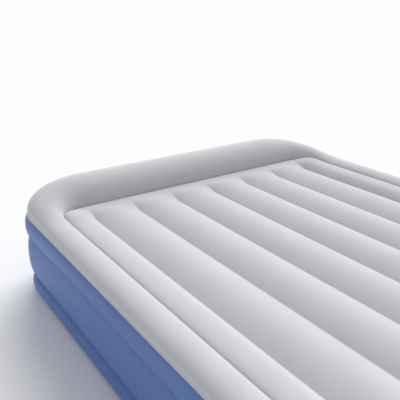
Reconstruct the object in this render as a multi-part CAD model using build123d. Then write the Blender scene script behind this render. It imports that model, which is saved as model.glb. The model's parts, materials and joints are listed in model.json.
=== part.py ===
from build123d import *
import math
import os

# Raised queen-size airbed with a built-in pillow and a built-in electric pump.
# Units are millimetres. The origin is at the middle of the footprint on the floor:
# +X to the sleeper's right, +Y towards the pillow, +Z up.

# ---- Driving dimensions: the inflated bed ----
BED_WIDTH = 1520.0        # across the bulged side walls
BED_LENGTH = 2030.0       # across the bulged head and foot walls
CORNER_R = 250.0          # plan corner of the bulged wall
SHEET_T = 0.8             # welded sheet
COVER_T = 1.0             # flocked sheet, flock included
BEAM_T = 0.5              # internal webs

# Side wall: heights of its three bands, and how far each weld line is pulled in from the bulge
UPPER_BAND_H = 84.0
MIDDLE_BAND_H = 171.0
LOWER_BAND_H = 73.0
TOP_WELD_INSET = 15.0
UPPER_CREASE_INSET = 12.0
LOWER_CREASE_INSET = 20.0
FLOOR_INSET = 45.0
LOWER_BULGE_INSET = 4.0

# Sleeping panel
CHANNELS = 8
OUTER_CHANNEL = 110.0     # the narrower first and last channels
PANEL_HEAD_CORNER_R = 70.0
VALLEY_DROP = 6.0         # valleys below the top weld line
CHANNEL_RISE = 28.0       # crests above the valleys
SIDE_SEAM_RISE = 14.0     # panel seam above the top weld line
PILLOW_SEAM_RISE = 2.0

# Rim and pillow: widths, and heights of their rounded sections
RIM_WIDTH = 95.0
PILLOW_DEPTH = 239.0
RIM_LIFT = 43.0           # handle length that lifts the rim's crest
PILLOW_LIFT = 121.0       # handle length that lifts the pillow's crest
PILLOW_FRONT_LEAN = 8.0
PILLOW_BACK_LEAN = 28.0
RIM_BACK_LEAN = 4.0
BLEND_RUN = 125.0         # how far the blend runs on past the inner corner, each way
BLEND_STATIONS = 17
SEAM_GAP = 0.3            # panel seam to the rim and pillow skins

# Internal webs and ribbons
BEAM_FOOT_GAP = 45.0      # air passage between web ends and the foot seam
BEAM_HEAD_GAP = 56.0
AIR_HOLE_R = 30.0
AIR_HOLE_PITCH = 220.0
RIBBON_T = 0.8
RIBBON_HOLE_R = 12.0
RIBBON_HOLES = 6

# ---- Driving dimensions: the pump in the head wall ----
PUMP_X = 330.0
PUMP_W = 204.0            # housing body
PUMP_H = 122.0
PUMP_DEPTH = 110.0
HOUSING_WALL = 2.2
HOUSING_R = 10.0
FLANGE_EDGE_X = 10.0      # flange beyond the body, sideways
FLANGE_EDGE_Z = 8.0
COLLAR_EDGE = 6.0         # collar beyond the flange
COLLAR_T = 2.5
COLLAR_SKIRT = 18.0
GASKET_T = 1.0
FLANGE_T = 2.0
FACE_T = 2.0
CLAMP_T = 3.0
FACE_SETBACK = 2.0        # face plane behind the wall's bulge
SOFT_GAP = 0.3
RUNNING_GAP = 0.08

DIAL_U = -58.0
DIAL_R = 30.0
DIAL_T = 6.5
DIAL_WELL_DEPTH = 14.0
DIAL_WELL_GAP = 2.5
DIAL_SHAFT_R = 6.0
DIAL_TURN_DEG = 60.0
GRIP_W = 11.0
GRIP_H = 7.0
DRUM_R = 26.0
DRUM_WALL = 2.0
DRUM_LENGTH = 60.0
SLEEVE_WALL = 2.2
PORT_H = 30.0
PORT_L = 14.0

VALVE_PORT_R = 20.0
VALVE_SEAT_R = 27.0
VALVE_SEAT_T = 6.0
VALVE_PLATE_R = 24.0
VALVE_PLATE_T = 2.0
VALVE_STEM_R = 3.0
VALVE_HEAD_R = 7.0
VALVE_HEAD_T = 2.0
VALVE_HUB_R = 7.5
VALVE_SPRING_WIRE_R = 0.6
VALVE_SPRING_R = 5.0
VALVE_SPRING_LENGTH = 16.0
VALVE_SPRING_TURNS = 5

SWITCH_U = -2.0
SWITCH_V = 36.0
SWITCH_W = 24.0
SWITCH_H = 14.0
SWITCH_DEPTH = 16.0
SWITCH_WALL = 1.4
ROCKER_TILT_DEG = 8.0
ROCKER_PIN_R = 1.5

GRILLE_U = -2.0
GRILLE_V = -16.0
GRILLE_W = 28.0
GRILLE_H = 60.0
GRILLE_SLOT_H = 3.0
GRILLE_SLOT_PITCH = 6.5
FILTER_T = 9.0

TRAY_U = 56.0
TRAY_W = 68.0
TRAY_H = 92.0
TRAY_WALL = 1.8
TRAY_DEPTH = 45.0
HATCH_T = 2.0
HATCH_BARREL_R = 2.0
HATCH_PIN_R = 1.1
HATCH_PIN_SETBACK = 0.2   # pin ends inside the tray's outer faces
HATCH_TOP_GAP = 2.7       # pin axis below the tray's inner top
HATCH_NOTCH_R = 3.0
HATCH_NOTCH_W = 18.0
GLAND_R = 7.0
GLAND_BORE_R = 3.2
GLAND_LENGTH = 9.0

MOTOR_U = 50.0
MOTOR_R = 22.0
MOTOR_WALL = 1.5
MOTOR_LENGTH = 38.0
MOTOR_SHAFT_R = 2.5
MAGNET_T = 4.0
ARMATURE_R = 14.0
ARMATURE_LENGTH = 22.0
BRACKET_T = 3.0
BRACKET_HOLES = 6
BRACKET_HOLE_R = 4.0
VOLUTE_R = 40.0
VOLUTE_WALL = 2.0
VOLUTE_DEPTH = 20.0
IMPELLER_R = 34.0
IMPELLER_PLATE_T = 2.0
IMPELLER_HEIGHT = 12.0
IMPELLER_BLADES = 8
SCREW_R = 1.5
SCREW_HEAD_R = 3.2
SCREW_HEAD_T = 1.2
SCREW_HOLE_R = 1.6
SCREW_SLOT_L = 4.16
SCREW_SLOT_W = 0.8
SCREW_SLOT_DEPTH = 0.6

# ---- Worked-out places ----
HALF_W = BED_WIDTH / 2
HALF_L = BED_LENGTH / 2
WELD_X = HALF_W - TOP_WELD_INSET
WELD_Y = HALF_L - TOP_WELD_INSET
WELD_R = CORNER_R - TOP_WELD_INSET
Z_LOWER_CREASE = LOWER_BAND_H
Z_UPPER_CREASE = Z_LOWER_CREASE + MIDDLE_BAND_H
Z_TOP_WELD = Z_UPPER_CREASE + UPPER_BAND_H
Z_UPPER_BULGE = (Z_UPPER_CREASE + Z_TOP_WELD) / 2
Z_MIDDLE_BULGE = (Z_LOWER_CREASE + Z_UPPER_CREASE) / 2
Z_LOWER_BULGE = FLOOR_INSET - LOWER_BULGE_INSET + 1.0
Z_VALLEY = Z_TOP_WELD - VALLEY_DROP
Z_SIDE_SEAM = Z_TOP_WELD + SIDE_SEAM_RISE
Z_PILLOW_SEAM = Z_TOP_WELD + PILLOW_SEAM_RISE
PANEL_HALF_WIDTH = WELD_X - RIM_WIDTH
CHANNEL_PITCH = 2 * (PANEL_HALF_WIDTH - OUTER_CHANNEL) / (CHANNELS - 2)
PANEL_HEAD_Y = WELD_Y - PILLOW_DEPTH
PANEL_FOOT_Y = -(WELD_Y - RIM_WIDTH)
PANEL_FOOT_CORNER_R = WELD_R - RIM_WIDTH
CORNER_X = WELD_X - WELD_R
CORNER_Y = WELD_Y - WELD_R
PANEL_BASE_Z = Z_VALLEY - COVER_T
BLEND_X = PANEL_HALF_WIDTH - PANEL_HEAD_CORNER_R - BLEND_RUN
BLEND_Y = PANEL_HEAD_Y - PANEL_HEAD_CORNER_R - BLEND_RUN
PUMP_Z = Z_MIDDLE_BULGE

FACE_Y = HALF_L - FACE_SETBACK
FACE_BACK_Y = FACE_Y - FACE_T
FLANGE_BACK_Y = FACE_BACK_Y - FLANGE_T
GASKET_BACK_Y = FLANGE_BACK_Y - GASKET_T
COLLAR_BACK_Y = GASKET_BACK_Y - COLLAR_T
CLAMP_BACK_Y = COLLAR_BACK_Y - CLAMP_T
HOUSING_BACK_Y = FACE_BACK_Y - PUMP_DEPTH
HOUSING_FLOOR_Y = HOUSING_BACK_Y + HOUSING_WALL
FLANGE_W = PUMP_W + 2 * FLANGE_EDGE_X
FLANGE_H = PUMP_H + 2 * FLANGE_EDGE_Z
COLLAR_W = FLANGE_W + 2 * COLLAR_EDGE
COLLAR_H = FLANGE_H + 2 * COLLAR_EDGE
WELL_FLOOR_Y = FACE_BACK_Y - DIAL_WELL_DEPTH
DIAL_BACK_Y = WELL_FLOOR_Y + FACE_T + SOFT_GAP
DRUM_FRONT_Y = WELL_FLOOR_Y - DIAL_WELL_DEPTH + FACE_T
DRUM_BACK_Y = DRUM_FRONT_Y - DRUM_LENGTH
VALVE_SEAT_BACK_Y = HOUSING_BACK_Y - VALVE_SEAT_T
HATCH_AXIS_Y = FACE_Y - HATCH_BARREL_R
HATCH_AXIS_Z = PUMP_Z + TRAY_H / 2 - TRAY_WALL - HATCH_TOP_GAP
HATCH_PIN_LENGTH = TRAY_W - 2 * HATCH_PIN_SETBACK
TRAY_INNER_W = TRAY_W - 2 * TRAY_WALL
TRAY_INNER_H = TRAY_H - 2 * TRAY_WALL
BRACKET_BACK_Y = HOUSING_FLOOR_Y + VOLUTE_DEPTH
MOTOR_BACK_Y = BRACKET_BACK_Y + BRACKET_T
BLOWER_Y = (HOUSING_FLOOR_Y + BRACKET_BACK_Y) / 2
VENT_Y = (DRUM_BACK_Y + DRUM_FRONT_Y) / 2
SWITCH_PIVOT_Y = FACE_BACK_Y - 3.0


# ---- Small builders ----
def at_pump(u, v, y):
    """A point on the pump, from its face centre: u along +X, v up, at depth y."""
    return (PUMP_X + u, y, PUMP_Z + v)


def rod_y(radius, u, v, y0, y1):
    """A round bar along Y between two depths."""
    plane = Plane(origin=at_pump(u, v, y0), x_dir=(1, 0, 0), z_dir=(0, 1, 0))
    return extrude(plane * Circle(radius), amount=y1 - y0)


def plate_y(width, height, corner, u, v, y0, y1):
    """A rounded plate that faces along Y."""
    plane = Plane(origin=at_pump(u, v, y0), x_dir=(1, 0, 0), z_dir=(0, 1, 0))
    shape = RectangleRounded(width, height, corner) if corner > 0 else Rectangle(width, height)
    return extrude(plane * shape, amount=y1 - y0)


def tube_y(outer, inner, u, v, y0, y1):
    """A round tube along Y."""
    return rod_y(outer, u, v, y0, y1) - rod_y(inner, u, v, y0 - 1, y1 + 1)


def wall_path():
    """The plan outline that every wall section is carried along."""
    half_w, half_l, radius = HALF_W, HALF_L, CORNER_R
    cx, cy, d = half_w - radius, half_l - radius, radius * math.sqrt(0.5)
    corners = [(cx, cy), (-cx, cy), (-cx, -cy), (cx, -cy)]
    edges = []
    last = (half_w, 0.0)
    for i, (px, py) in enumerate(corners):
        a = math.radians(90 * i)
        start = (px + radius * math.cos(a), py + radius * math.sin(a))
        end = (px - radius * math.sin(a), py + radius * math.cos(a))
        middle = (px + math.copysign(d, px), py + math.copysign(d, py))
        edges.append(Line(last, start).edge())
        edges.append(ThreePointArc(start, middle, end).edge())
        last = end
    edges.append(Line(last, (half_w, 0.0)).edge())
    return Wire(edges)


def around_bed(section):
    """Carries a wall section, drawn at +X, all the way round the bed."""
    return sweep(section, path=wall_path())


def rounded_block(half_w, y0, y1, r_foot, r_head, z0, z1):
    """A block with its own corner radius at the foot and at the head."""
    k = math.sqrt(0.5)

    def arc(cx, cy, r, sx, sy, order):
        side = (cx + sx * r, cy, 0)
        middle = (cx + sx * r * k, cy + sy * r * k, 0)
        end = (cx, cy + sy * r, 0)
        return ThreePointArc(*([side, middle, end][::order])).edge()

    hx, fx = half_w - r_head, half_w - r_foot
    hy, fy = y1 - r_head, y0 + r_foot
    edges = [
        Line((half_w, fy, 0), (half_w, hy, 0)).edge(), arc(hx, hy, r_head, 1, 1, 1),
        Line((hx, y1, 0), (-hx, y1, 0)).edge(), arc(-hx, hy, r_head, -1, 1, -1),
        Line((-half_w, hy, 0), (-half_w, fy, 0)).edge(), arc(-fx, fy, r_foot, -1, -1, 1),
        Line((-fx, y0, 0), (fx, y0, 0)).edge(), arc(fx, fy, r_foot, 1, -1, -1),
    ]
    face = Face(Wire(edges))
    return Pos(0, 0, z0) * extrude(face, amount=z1 - z0, dir=(0, 0, 1))


def bulge_arc(inset, z, peak_inset, z_peak, offset=0.0):
    """An arc from a weld line to the bulge, upright at the bulge; offset draws its inner side."""
    dx, dz = inset - peak_inset, z - z_peak
    radius = (dx * dx + dz * dz) / (2 * dx)
    half = math.asin(dz / radius) / 2 if dx <= radius else math.copysign(math.pi, dz) / 4
    x_peak = HALF_W - peak_inset - offset
    middle_x = x_peak - radius * (1 - math.cos(half))
    middle_z = z_peak + radius * math.sin(half)
    return (HALF_W - inset - offset, 0, z), (middle_x, 0, middle_z), (x_peak, 0, z_peak)


def wall_section(low, peak, high, thickness, flat_low=False):
    """A bulged strip of sheet between two weld lines, each given as (inset, z)."""
    outer_low = bulge_arc(*low, *peak)
    outer_high = bulge_arc(*high, *peak)
    inner_low = bulge_arc(*low, *peak, offset=thickness)
    inner_high = bulge_arc(*high, *peak, offset=thickness)
    if flat_low:
        start = (outer_low[0][0], 0, low[1] + thickness)
        inner_low = (start, (inner_low[1][0], 0, inner_low[1][2] + thickness / 2), inner_low[2])
    edges = [
        ThreePointArc(*outer_low).edge(),
        ThreePointArc(*outer_high[::-1]).edge(),
        Line(outer_high[0], inner_high[0]).edge(),
        ThreePointArc(*inner_high).edge(),
        ThreePointArc(*inner_low[::-1]).edge(),
        Line(inner_low[0], outer_low[0]).edge(),
    ]
    return Face(Wire(edges))


# ---- Soft shell ----
def upper_wall_band():
    return around_bed(wall_section((UPPER_CREASE_INSET, Z_UPPER_CREASE), (0.0, Z_UPPER_BULGE),
                                   (TOP_WELD_INSET, Z_TOP_WELD), SHEET_T))


def middle_wall_band():
    band = around_bed(wall_section((LOWER_CREASE_INSET, Z_LOWER_CREASE), (0.0, Z_MIDDLE_BULGE),
                                   (UPPER_CREASE_INSET, Z_UPPER_CREASE), SHEET_T))
    window = plate_y(COLLAR_W, COLLAR_H, HOUSING_R + COLLAR_EDGE, 0, 0, FACE_Y - PUMP_DEPTH, HALF_L + 5)
    return band - window


def lower_wall_band():
    return around_bed(wall_section((FLOOR_INSET, 0.0), (LOWER_BULGE_INSET, Z_LOWER_BULGE),
                                   (LOWER_CREASE_INSET, Z_LOWER_CREASE), SHEET_T, flat_low=True))


def bottom_sheet():
    radius = CORNER_R - FLOOR_INSET
    return rounded_block(HALF_W - FLOOR_INSET, -(HALF_L - FLOOR_INSET), HALF_L - FLOOR_INSET,
                         radius, radius, 0, SHEET_T)


def seam_places():
    """X of every lengthwise seam, from the left rim's seam to the right rim's."""
    inner = [(i + 1 - CHANNELS / 2) * CHANNEL_PITCH for i in range(CHANNELS - 1)]
    return [-PANEL_HALF_WIDTH] + inner + [PANEL_HALF_WIDTH]


def channel_outline(drop):
    """The wavy top of the sleeping panel, as arcs from seam to seam, lowered by drop."""
    seams = seam_places()
    levels = [Z_SIDE_SEAM] + [Z_VALLEY] * (CHANNELS - 1) + [Z_SIDE_SEAM]
    arcs = []
    for x0, x1, z0, z1 in zip(seams, seams[1:], levels, levels[1:]):
        crest = ((x0 + x1) / 2, 0, Z_VALLEY + CHANNEL_RISE - drop)
        arcs.append(ThreePointArc((x0, 0, z0 - drop), crest, (x1, 0, z1 - drop)).edge())
    return arcs


def channel_block(inset, drop, z_base):
    """A block under the wavy top, rounded in plan, inset from the panel's seam."""
    half_width = PANEL_HALF_WIDTH
    left, right = (-half_width, 0, z_base), (half_width, 0, z_base)
    edges = channel_outline(drop)
    edges += [
        Line((half_width, 0, Z_SIDE_SEAM - drop), right).edge(),
        Line(right, left).edge(),
        Line(left, (-half_width, 0, Z_SIDE_SEAM - drop)).edge(),
    ]
    span = PANEL_HEAD_Y - PANEL_FOOT_Y
    wave = Pos(0, PANEL_FOOT_Y, 0) * extrude(Face(Wire(edges)), amount=span, dir=(0, 1, 0))
    plan = rounded_block(half_width - inset, PANEL_FOOT_Y + inset, PANEL_HEAD_Y - inset,
                         PANEL_FOOT_CORNER_R - inset, PANEL_HEAD_CORNER_R - inset,
                         z_base - 1, Z_VALLEY + 2 * CHANNEL_RISE)
    return wave & plan


def channel_panel():
    outer = channel_block(SEAM_GAP, 0.0, PANEL_BASE_Z)
    inner = channel_block(SEAM_GAP + COVER_T, COVER_T, PANEL_BASE_Z - 2)
    return outer - inner


def cover_wire(inner, outer, lift, front_lean, back_lean, skin=0.0):
    """A rounded cover section between its two seams; skin > 0 draws the air space inside it."""
    start, end = Vector(*inner), Vector(*outer)
    across = Vector(end.X - start.X, end.Y - start.Y, 0).normalized()
    up = Vector(0, 0, 1)
    p0 = start + across * skin
    p3 = end - across * skin
    p1 = p0 + across * front_lean + up * (lift - skin * 4 / 3)
    p2 = p3 + across * back_lean + up * (lift - skin * 4 / 3)
    if skin == 0:
        return Wire([Bezier(p0, p1, p2, p3).edge(), Line(p3, p0).edge()])
    low0, low3 = p0 - up * (5 * skin), p3 - up * (5 * skin)
    return Wire([Bezier(p0, p1, p2, p3).edge(), Line(p3, low3).edge(),
                 Line(low3, low0).edge(), Line(low0, p0).edge()])


def cover_between(stations):
    """A skin lofted through cover sections, open underneath."""
    outer = Solid.make_loft([cover_wire(*s) for s in stations])
    inner = Solid.make_loft([cover_wire(*s, skin=COVER_T) for s in stations])
    return outer - inner


def corner_route(half_w, head_y, radius, start_x, end_y, share):
    """A point part of the way along a straight, an arc and a straight, at the head's +X corner."""
    cx, cy = half_w - radius, head_y - radius
    first, turn, last = cx - start_x, radius * math.pi / 2, cy - end_y
    s = share * (first + turn + last)
    if s <= first:
        return start_x + s, head_y
    if s <= first + turn:
        a = math.pi / 2 - (s - first) / radius
        return cx + radius * math.cos(a), cy + radius * math.sin(a)
    return half_w, cy - (s - first - turn)


def head_corner(side):
    """The cover's corner, where the tall pillow turns and sinks into the low rim."""
    stations = []
    for i in range(BLEND_STATIONS):
        share = i / (BLEND_STATIONS - 1)
        ease = share * share * (3 - 2 * share)
        ix, iy = corner_route(PANEL_HALF_WIDTH, PANEL_HEAD_Y, PANEL_HEAD_CORNER_R, BLEND_X, BLEND_Y, share)
        ox, oy = corner_route(WELD_X, WELD_Y, WELD_R, BLEND_X, BLEND_Y, share)
        iz = Z_PILLOW_SEAM + (Z_SIDE_SEAM - Z_PILLOW_SEAM) * ease
        lift = PILLOW_LIFT + (RIM_LIFT - PILLOW_LIFT) * ease
        front = PILLOW_FRONT_LEAN * (1 - ease)
        back = PILLOW_BACK_LEAN + (RIM_BACK_LEAN - PILLOW_BACK_LEAN) * ease
        stations.append(((side * ix, iy, iz), (side * ox, oy, Z_TOP_WELD), lift, front, back))
    return cover_between(stations)


def pillow_cover():
    ends = [((x, PANEL_HEAD_Y, Z_PILLOW_SEAM), (x, WELD_Y, Z_TOP_WELD),
             PILLOW_LIFT, PILLOW_FRONT_LEAN, PILLOW_BACK_LEAN) for x in (-BLEND_X, BLEND_X)]
    return cover_between(ends) + head_corner(1) + head_corner(-1)


def side_rim(side):
    ends = [((side * PANEL_HALF_WIDTH, y, Z_SIDE_SEAM), (side * WELD_X, y, Z_TOP_WELD),
             RIM_LIFT, 0.0, RIM_BACK_LEAN) for y in (-CORNER_Y, BLEND_Y)]
    return cover_between(ends)


def foot_rim():
    def revolved(side, skin):
        wire = cover_wire((side * PANEL_HALF_WIDTH, -CORNER_Y, Z_SIDE_SEAM),
                          (side * WELD_X, -CORNER_Y, Z_TOP_WELD), RIM_LIFT, 0.0, RIM_BACK_LEAN, skin)
        axis = Axis((side * CORNER_X, -CORNER_Y, 0), (0, 0, -side))
        return revolve(Face(wire), axis=axis, revolution_arc=90)

    ends = [((x, PANEL_FOOT_Y, Z_SIDE_SEAM), (x, -WELD_Y, Z_TOP_WELD),
             RIM_LIFT, 0.0, RIM_BACK_LEAN) for x in (-CORNER_X, CORNER_X)]
    corners = [revolved(side, 0.0) - revolved(side, COVER_T) for side in (-1, 1)]
    return cover_between(ends) + corners[0] + corners[1]


def long_beam(x):
    """An upright lengthwise web with air holes, from the bottom sheet to the panel."""
    y0, y1 = PANEL_FOOT_Y + BEAM_FOOT_GAP, PANEL_HEAD_Y - BEAM_HEAD_GAP
    if abs(x) > PANEL_HALF_WIDTH - PANEL_HEAD_CORNER_R:
        y0, y1 = PANEL_FOOT_Y + PANEL_FOOT_CORNER_R, PANEL_HEAD_Y - PANEL_HEAD_CORNER_R
    height = PANEL_BASE_Z - SHEET_T
    middle = (x - BEAM_T / 2, (y0 + y1) / 2, SHEET_T + height / 2)
    plane = Plane(origin=middle, x_dir=(0, 1, 0), z_dir=(1, 0, 0))
    count = int((y1 - y0) / AIR_HOLE_PITCH)
    web = plane * Rectangle(y1 - y0, height)
    holes = plane * GridLocations(AIR_HOLE_PITCH, 1, count, 1) * Circle(AIR_HOLE_R)
    return extrude(web - holes, amount=BEAM_T)


def head_web():
    """An upright web across the bed, under the seam between panel and pillow."""
    half = PANEL_HALF_WIDTH - PANEL_HEAD_CORNER_R
    height = PANEL_BASE_Z - SHEET_T
    plane = Plane(origin=(0, PANEL_HEAD_Y, SHEET_T + height / 2), x_dir=(1, 0, 0), z_dir=(0, -1, 0))
    count = int(2 * half / AIR_HOLE_PITCH)
    web = plane * Rectangle(2 * half, height)
    holes = plane * GridLocations(AIR_HOLE_PITCH, 1, count, 1) * Circle(AIR_HOLE_R)
    return extrude(web - holes, amount=BEAM_T)


def waist_ribbon(inset, z):
    """A flat ribbon inside the wall that pulls a crease in, with air holes along it."""
    outer_inset = inset + SHEET_T
    inner_inset = HALF_W - PANEL_HALF_WIDTH - BEAM_T / 2
    z0, z1 = z - RIBBON_T / 2, z + RIBBON_T / 2

    def block(edge, low, high):
        radius = CORNER_R - edge
        return rounded_block(HALF_W - edge, -(HALF_L - edge), HALF_L - edge, radius, radius, low, high)

    ribbon = block(outer_inset, z0, z1) - block(inner_inset, z0 - 1, z1 + 1)
    middle = HALF_W - (outer_inset + inner_inset) / 2
    spread = PANEL_HALF_WIDTH
    for side in (-1, 1):
        for i in range(RIBBON_HOLES):
            y = (i / (RIBBON_HOLES - 1) - 0.5) * 2 * spread
            ribbon -= Pos(side * middle, y, z) * Cylinder(RIBBON_HOLE_R, 4)
    return ribbon


# ---- Pump: body and face ----
def screw_places():
    x, z = PUMP_W / 2 + FLANGE_EDGE_X / 2, PUMP_H / 2 + FLANGE_EDGE_Z / 2
    return [(sx * x, sz * PUMP_H * 0.37) for sx in (-1, 1) for sz in (-1, 1)] + [(0, -z), (0, z)]


def screw_holes(y0, y1):
    holes = Part()
    for u, v in screw_places():
        holes += rod_y(SCREW_HOLE_R, u, v, y0, y1)
    return holes


def frame_ring(width, height, corner, y0, y1):
    """A flat frame around the housing body, with the screw holes through it."""
    ring = plate_y(width, height, corner, 0, 0, y0, y1)
    inner_w, inner_h = PUMP_W + 2 * SOFT_GAP, PUMP_H + 2 * SOFT_GAP
    ring -= plate_y(inner_w, inner_h, HOUSING_R + SOFT_GAP, 0, 0, y0 - 1, y1 + 1)
    return ring - screw_holes(y0 - 1, y1 + 1)


def pump_collar():
    corner = HOUSING_R + COLLAR_EDGE
    ring = frame_ring(COLLAR_W, COLLAR_H, corner, COLLAR_BACK_Y, GASKET_BACK_Y)
    skirt = plate_y(COLLAR_W, COLLAR_H, corner, 0, 0, GASKET_BACK_Y - COLLAR_SKIRT, COLLAR_BACK_Y)
    skirt -= plate_y(COLLAR_W - 2 * COLLAR_T, COLLAR_H - 2 * COLLAR_T, corner - COLLAR_T, 0, 0,
                     GASKET_BACK_Y - COLLAR_SKIRT - 1, COLLAR_BACK_Y + 1)
    return ring + skirt


def clamp_ring():
    return frame_ring(FLANGE_W, FLANGE_H, HOUSING_R, CLAMP_BACK_Y, COLLAR_BACK_Y)


def face_gasket():
    return frame_ring(FLANGE_W, FLANGE_H, HOUSING_R, GASKET_BACK_Y, FLANGE_BACK_Y)


def pump_housing():
    body = plate_y(PUMP_W, PUMP_H, HOUSING_R, 0, 0, HOUSING_BACK_Y, FACE_BACK_Y)
    body += plate_y(FLANGE_W, FLANGE_H, HOUSING_R, 0, 0, FLANGE_BACK_Y, FACE_BACK_Y)
    body -= plate_y(PUMP_W - 2 * HOUSING_WALL, PUMP_H - 2 * HOUSING_WALL, HOUSING_R - HOUSING_WALL, 0, 0,
                    HOUSING_FLOOR_Y, FACE_BACK_Y + 1)
    body -= rod_y(VALVE_PORT_R, DIAL_U, 0, HOUSING_BACK_Y - 1, HOUSING_FLOOR_Y + 1)
    return body - screw_holes(FLANGE_BACK_Y - 1, FACE_BACK_Y + 1)


def face_panel():
    well_r = DIAL_R + DIAL_WELL_GAP
    panel = plate_y(FLANGE_W, FLANGE_H, HOUSING_R, 0, 0, FACE_BACK_Y, FACE_Y)
    panel += rod_y(well_r + FACE_T, DIAL_U, 0, WELL_FLOOR_Y, FACE_BACK_Y)
    panel -= rod_y(well_r, DIAL_U, 0, WELL_FLOOR_Y + FACE_T, FACE_Y + 1)
    panel -= rod_y(DIAL_SHAFT_R + RUNNING_GAP, DIAL_U, 0, WELL_FLOOR_Y - 1, FACE_Y)
    panel -= plate_y(TRAY_INNER_W, TRAY_INNER_H, 0, TRAY_U, 0, FACE_BACK_Y - 1, FACE_Y + 1)
    panel -= plate_y(SWITCH_W, SWITCH_H, 0, SWITCH_U, SWITCH_V, FACE_BACK_Y - 1, FACE_Y + 1)
    panel -= plate_y(GRILLE_W, GRILLE_H, 0, GRILLE_U, GRILLE_V, FACE_BACK_Y - 1, FACE_Y + 1)
    panel -= hatch_rod(HATCH_PIN_R, HATCH_PIN_LENGTH)
    return panel - screw_holes(FACE_BACK_Y - 1, FACE_Y + 1)


def face_screws():
    """Six pan-head screws, as one group of separate solids."""
    screws = []
    top = FACE_Y + SCREW_HEAD_T
    for u, v in screw_places():
        head = rod_y(SCREW_HEAD_R, u, v, FACE_Y, top)
        for width, height in ((SCREW_SLOT_L, SCREW_SLOT_W), (SCREW_SLOT_W, SCREW_SLOT_L)):
            head -= plate_y(width, height, 0, u, v, top - SCREW_SLOT_DEPTH, top + 1)
        screws.append((head + rod_y(SCREW_R, u, v, CLAMP_BACK_Y, FACE_Y)).solid())
    return Compound(screws)


def intake_grille():
    grille = plate_y(GRILLE_W - SOFT_GAP, GRILLE_H - SOFT_GAP, 0, GRILLE_U, GRILLE_V, FACE_BACK_Y, FACE_Y)
    count = int((GRILLE_H - 4) / GRILLE_SLOT_PITCH)
    for i in range(count):
        v = GRILLE_V + (i - (count - 1) / 2) * GRILLE_SLOT_PITCH
        grille -= plate_y(GRILLE_W - 6, GRILLE_SLOT_H, 0, GRILLE_U, v, FACE_BACK_Y - 1, FACE_Y + 1)
    return grille


def intake_filter():
    return plate_y(GRILLE_W - 2, GRILLE_H - 2, 0, GRILLE_U, GRILLE_V, FACE_BACK_Y - FILTER_T, FACE_BACK_Y)


# ---- Pump: selector and check valve ----
def control_dial():
    dial = rod_y(DIAL_R, DIAL_U, 0, DIAL_BACK_Y, DIAL_BACK_Y + DIAL_T)
    grip_y = DIAL_BACK_Y + DIAL_T
    dial += plate_y(GRIP_W, 2 * DIAL_R - 6, GRIP_W / 2 - 0.5, DIAL_U, 0, grip_y - 1, grip_y + GRIP_H)
    return dial + rod_y(DIAL_SHAFT_R, DIAL_U, 0, DRUM_FRONT_Y, DIAL_BACK_Y)


def side_port(y, turn_deg=0.0):
    """The cutter for a port through one side of the selector's walls; +X when not turned."""
    cutter = Pos(DRUM_R, 0, 0) * Box(DRUM_R, PORT_L, PORT_H)
    return Pos(*at_pump(DIAL_U, 0, y)) * Rot(0, turn_deg, 0) * cutter


def selector_drum():
    drum = rod_y(DRUM_R, DIAL_U, 0, DRUM_BACK_Y, DRUM_FRONT_Y)
    drum -= rod_y(DRUM_R - DRUM_WALL, DIAL_U, 0, DRUM_BACK_Y - 1, DRUM_FRONT_Y - DRUM_WALL)
    return drum - side_port(VENT_Y, DIAL_TURN_DEG)


def valve_sleeve():
    inner = DRUM_R + SOFT_GAP
    sleeve = tube_y(inner + SLEEVE_WALL, inner, DIAL_U, 0, HOUSING_FLOOR_Y, DRUM_FRONT_Y - DRUM_WALL)
    return sleeve - side_port(BLOWER_Y) - side_port(VENT_Y)


def valve_seat():
    """A ring on the back wall with a spider that guides the valve's stem."""
    y0, y1 = VALVE_SEAT_BACK_Y, HOUSING_BACK_Y
    seat = tube_y(VALVE_SEAT_R, VALVE_PORT_R, DIAL_U, 0, y0, y1)
    seat += rod_y(VALVE_HUB_R, DIAL_U, 0, y0 + 1, y1)
    for i in range(3):
        arm = Pos(VALVE_PORT_R / 2, 0, 0) * Box(VALVE_PORT_R + 2, y1 - y0 - 1, 2.0)
        seat += Pos(*at_pump(DIAL_U, 0, (y0 + 1 + y1) / 2)) * Rot(0, 120 * i + 90, 0) * arm
    return seat - rod_y(VALVE_STEM_R + RUNNING_GAP, DIAL_U, 0, y0 - 1, y1 + 1)


def valve_plate():
    front = VALVE_SEAT_BACK_Y - SOFT_GAP
    head_y = HOUSING_BACK_Y + VALVE_SPRING_LENGTH
    plate = rod_y(VALVE_PLATE_R, DIAL_U, 0, front - VALVE_PLATE_T, front)
    plate += rod_y(VALVE_STEM_R, DIAL_U, 0, front, head_y)
    return plate + rod_y(VALVE_HEAD_R, DIAL_U, 0, head_y, head_y + VALVE_HEAD_T)


def valve_spring():
    """A coil between the spider's hub and the stem's head."""
    wire_r = VALVE_SPRING_WIRE_R
    low, high = HOUSING_BACK_Y + wire_r, HOUSING_BACK_Y + VALVE_SPRING_LENGTH - wire_r
    pitch = (high - low) / VALVE_SPRING_TURNS
    path = Helix(pitch=pitch, height=high - low, radius=VALVE_SPRING_R)
    section = Plane(origin=path @ 0, z_dir=path % 0) * Circle(wire_r)
    coil = sweep(section, path=path, is_frenet=True)
    return Pos(*at_pump(DIAL_U, 0, low)) * Rot(-90, 0, 0) * coil


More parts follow.
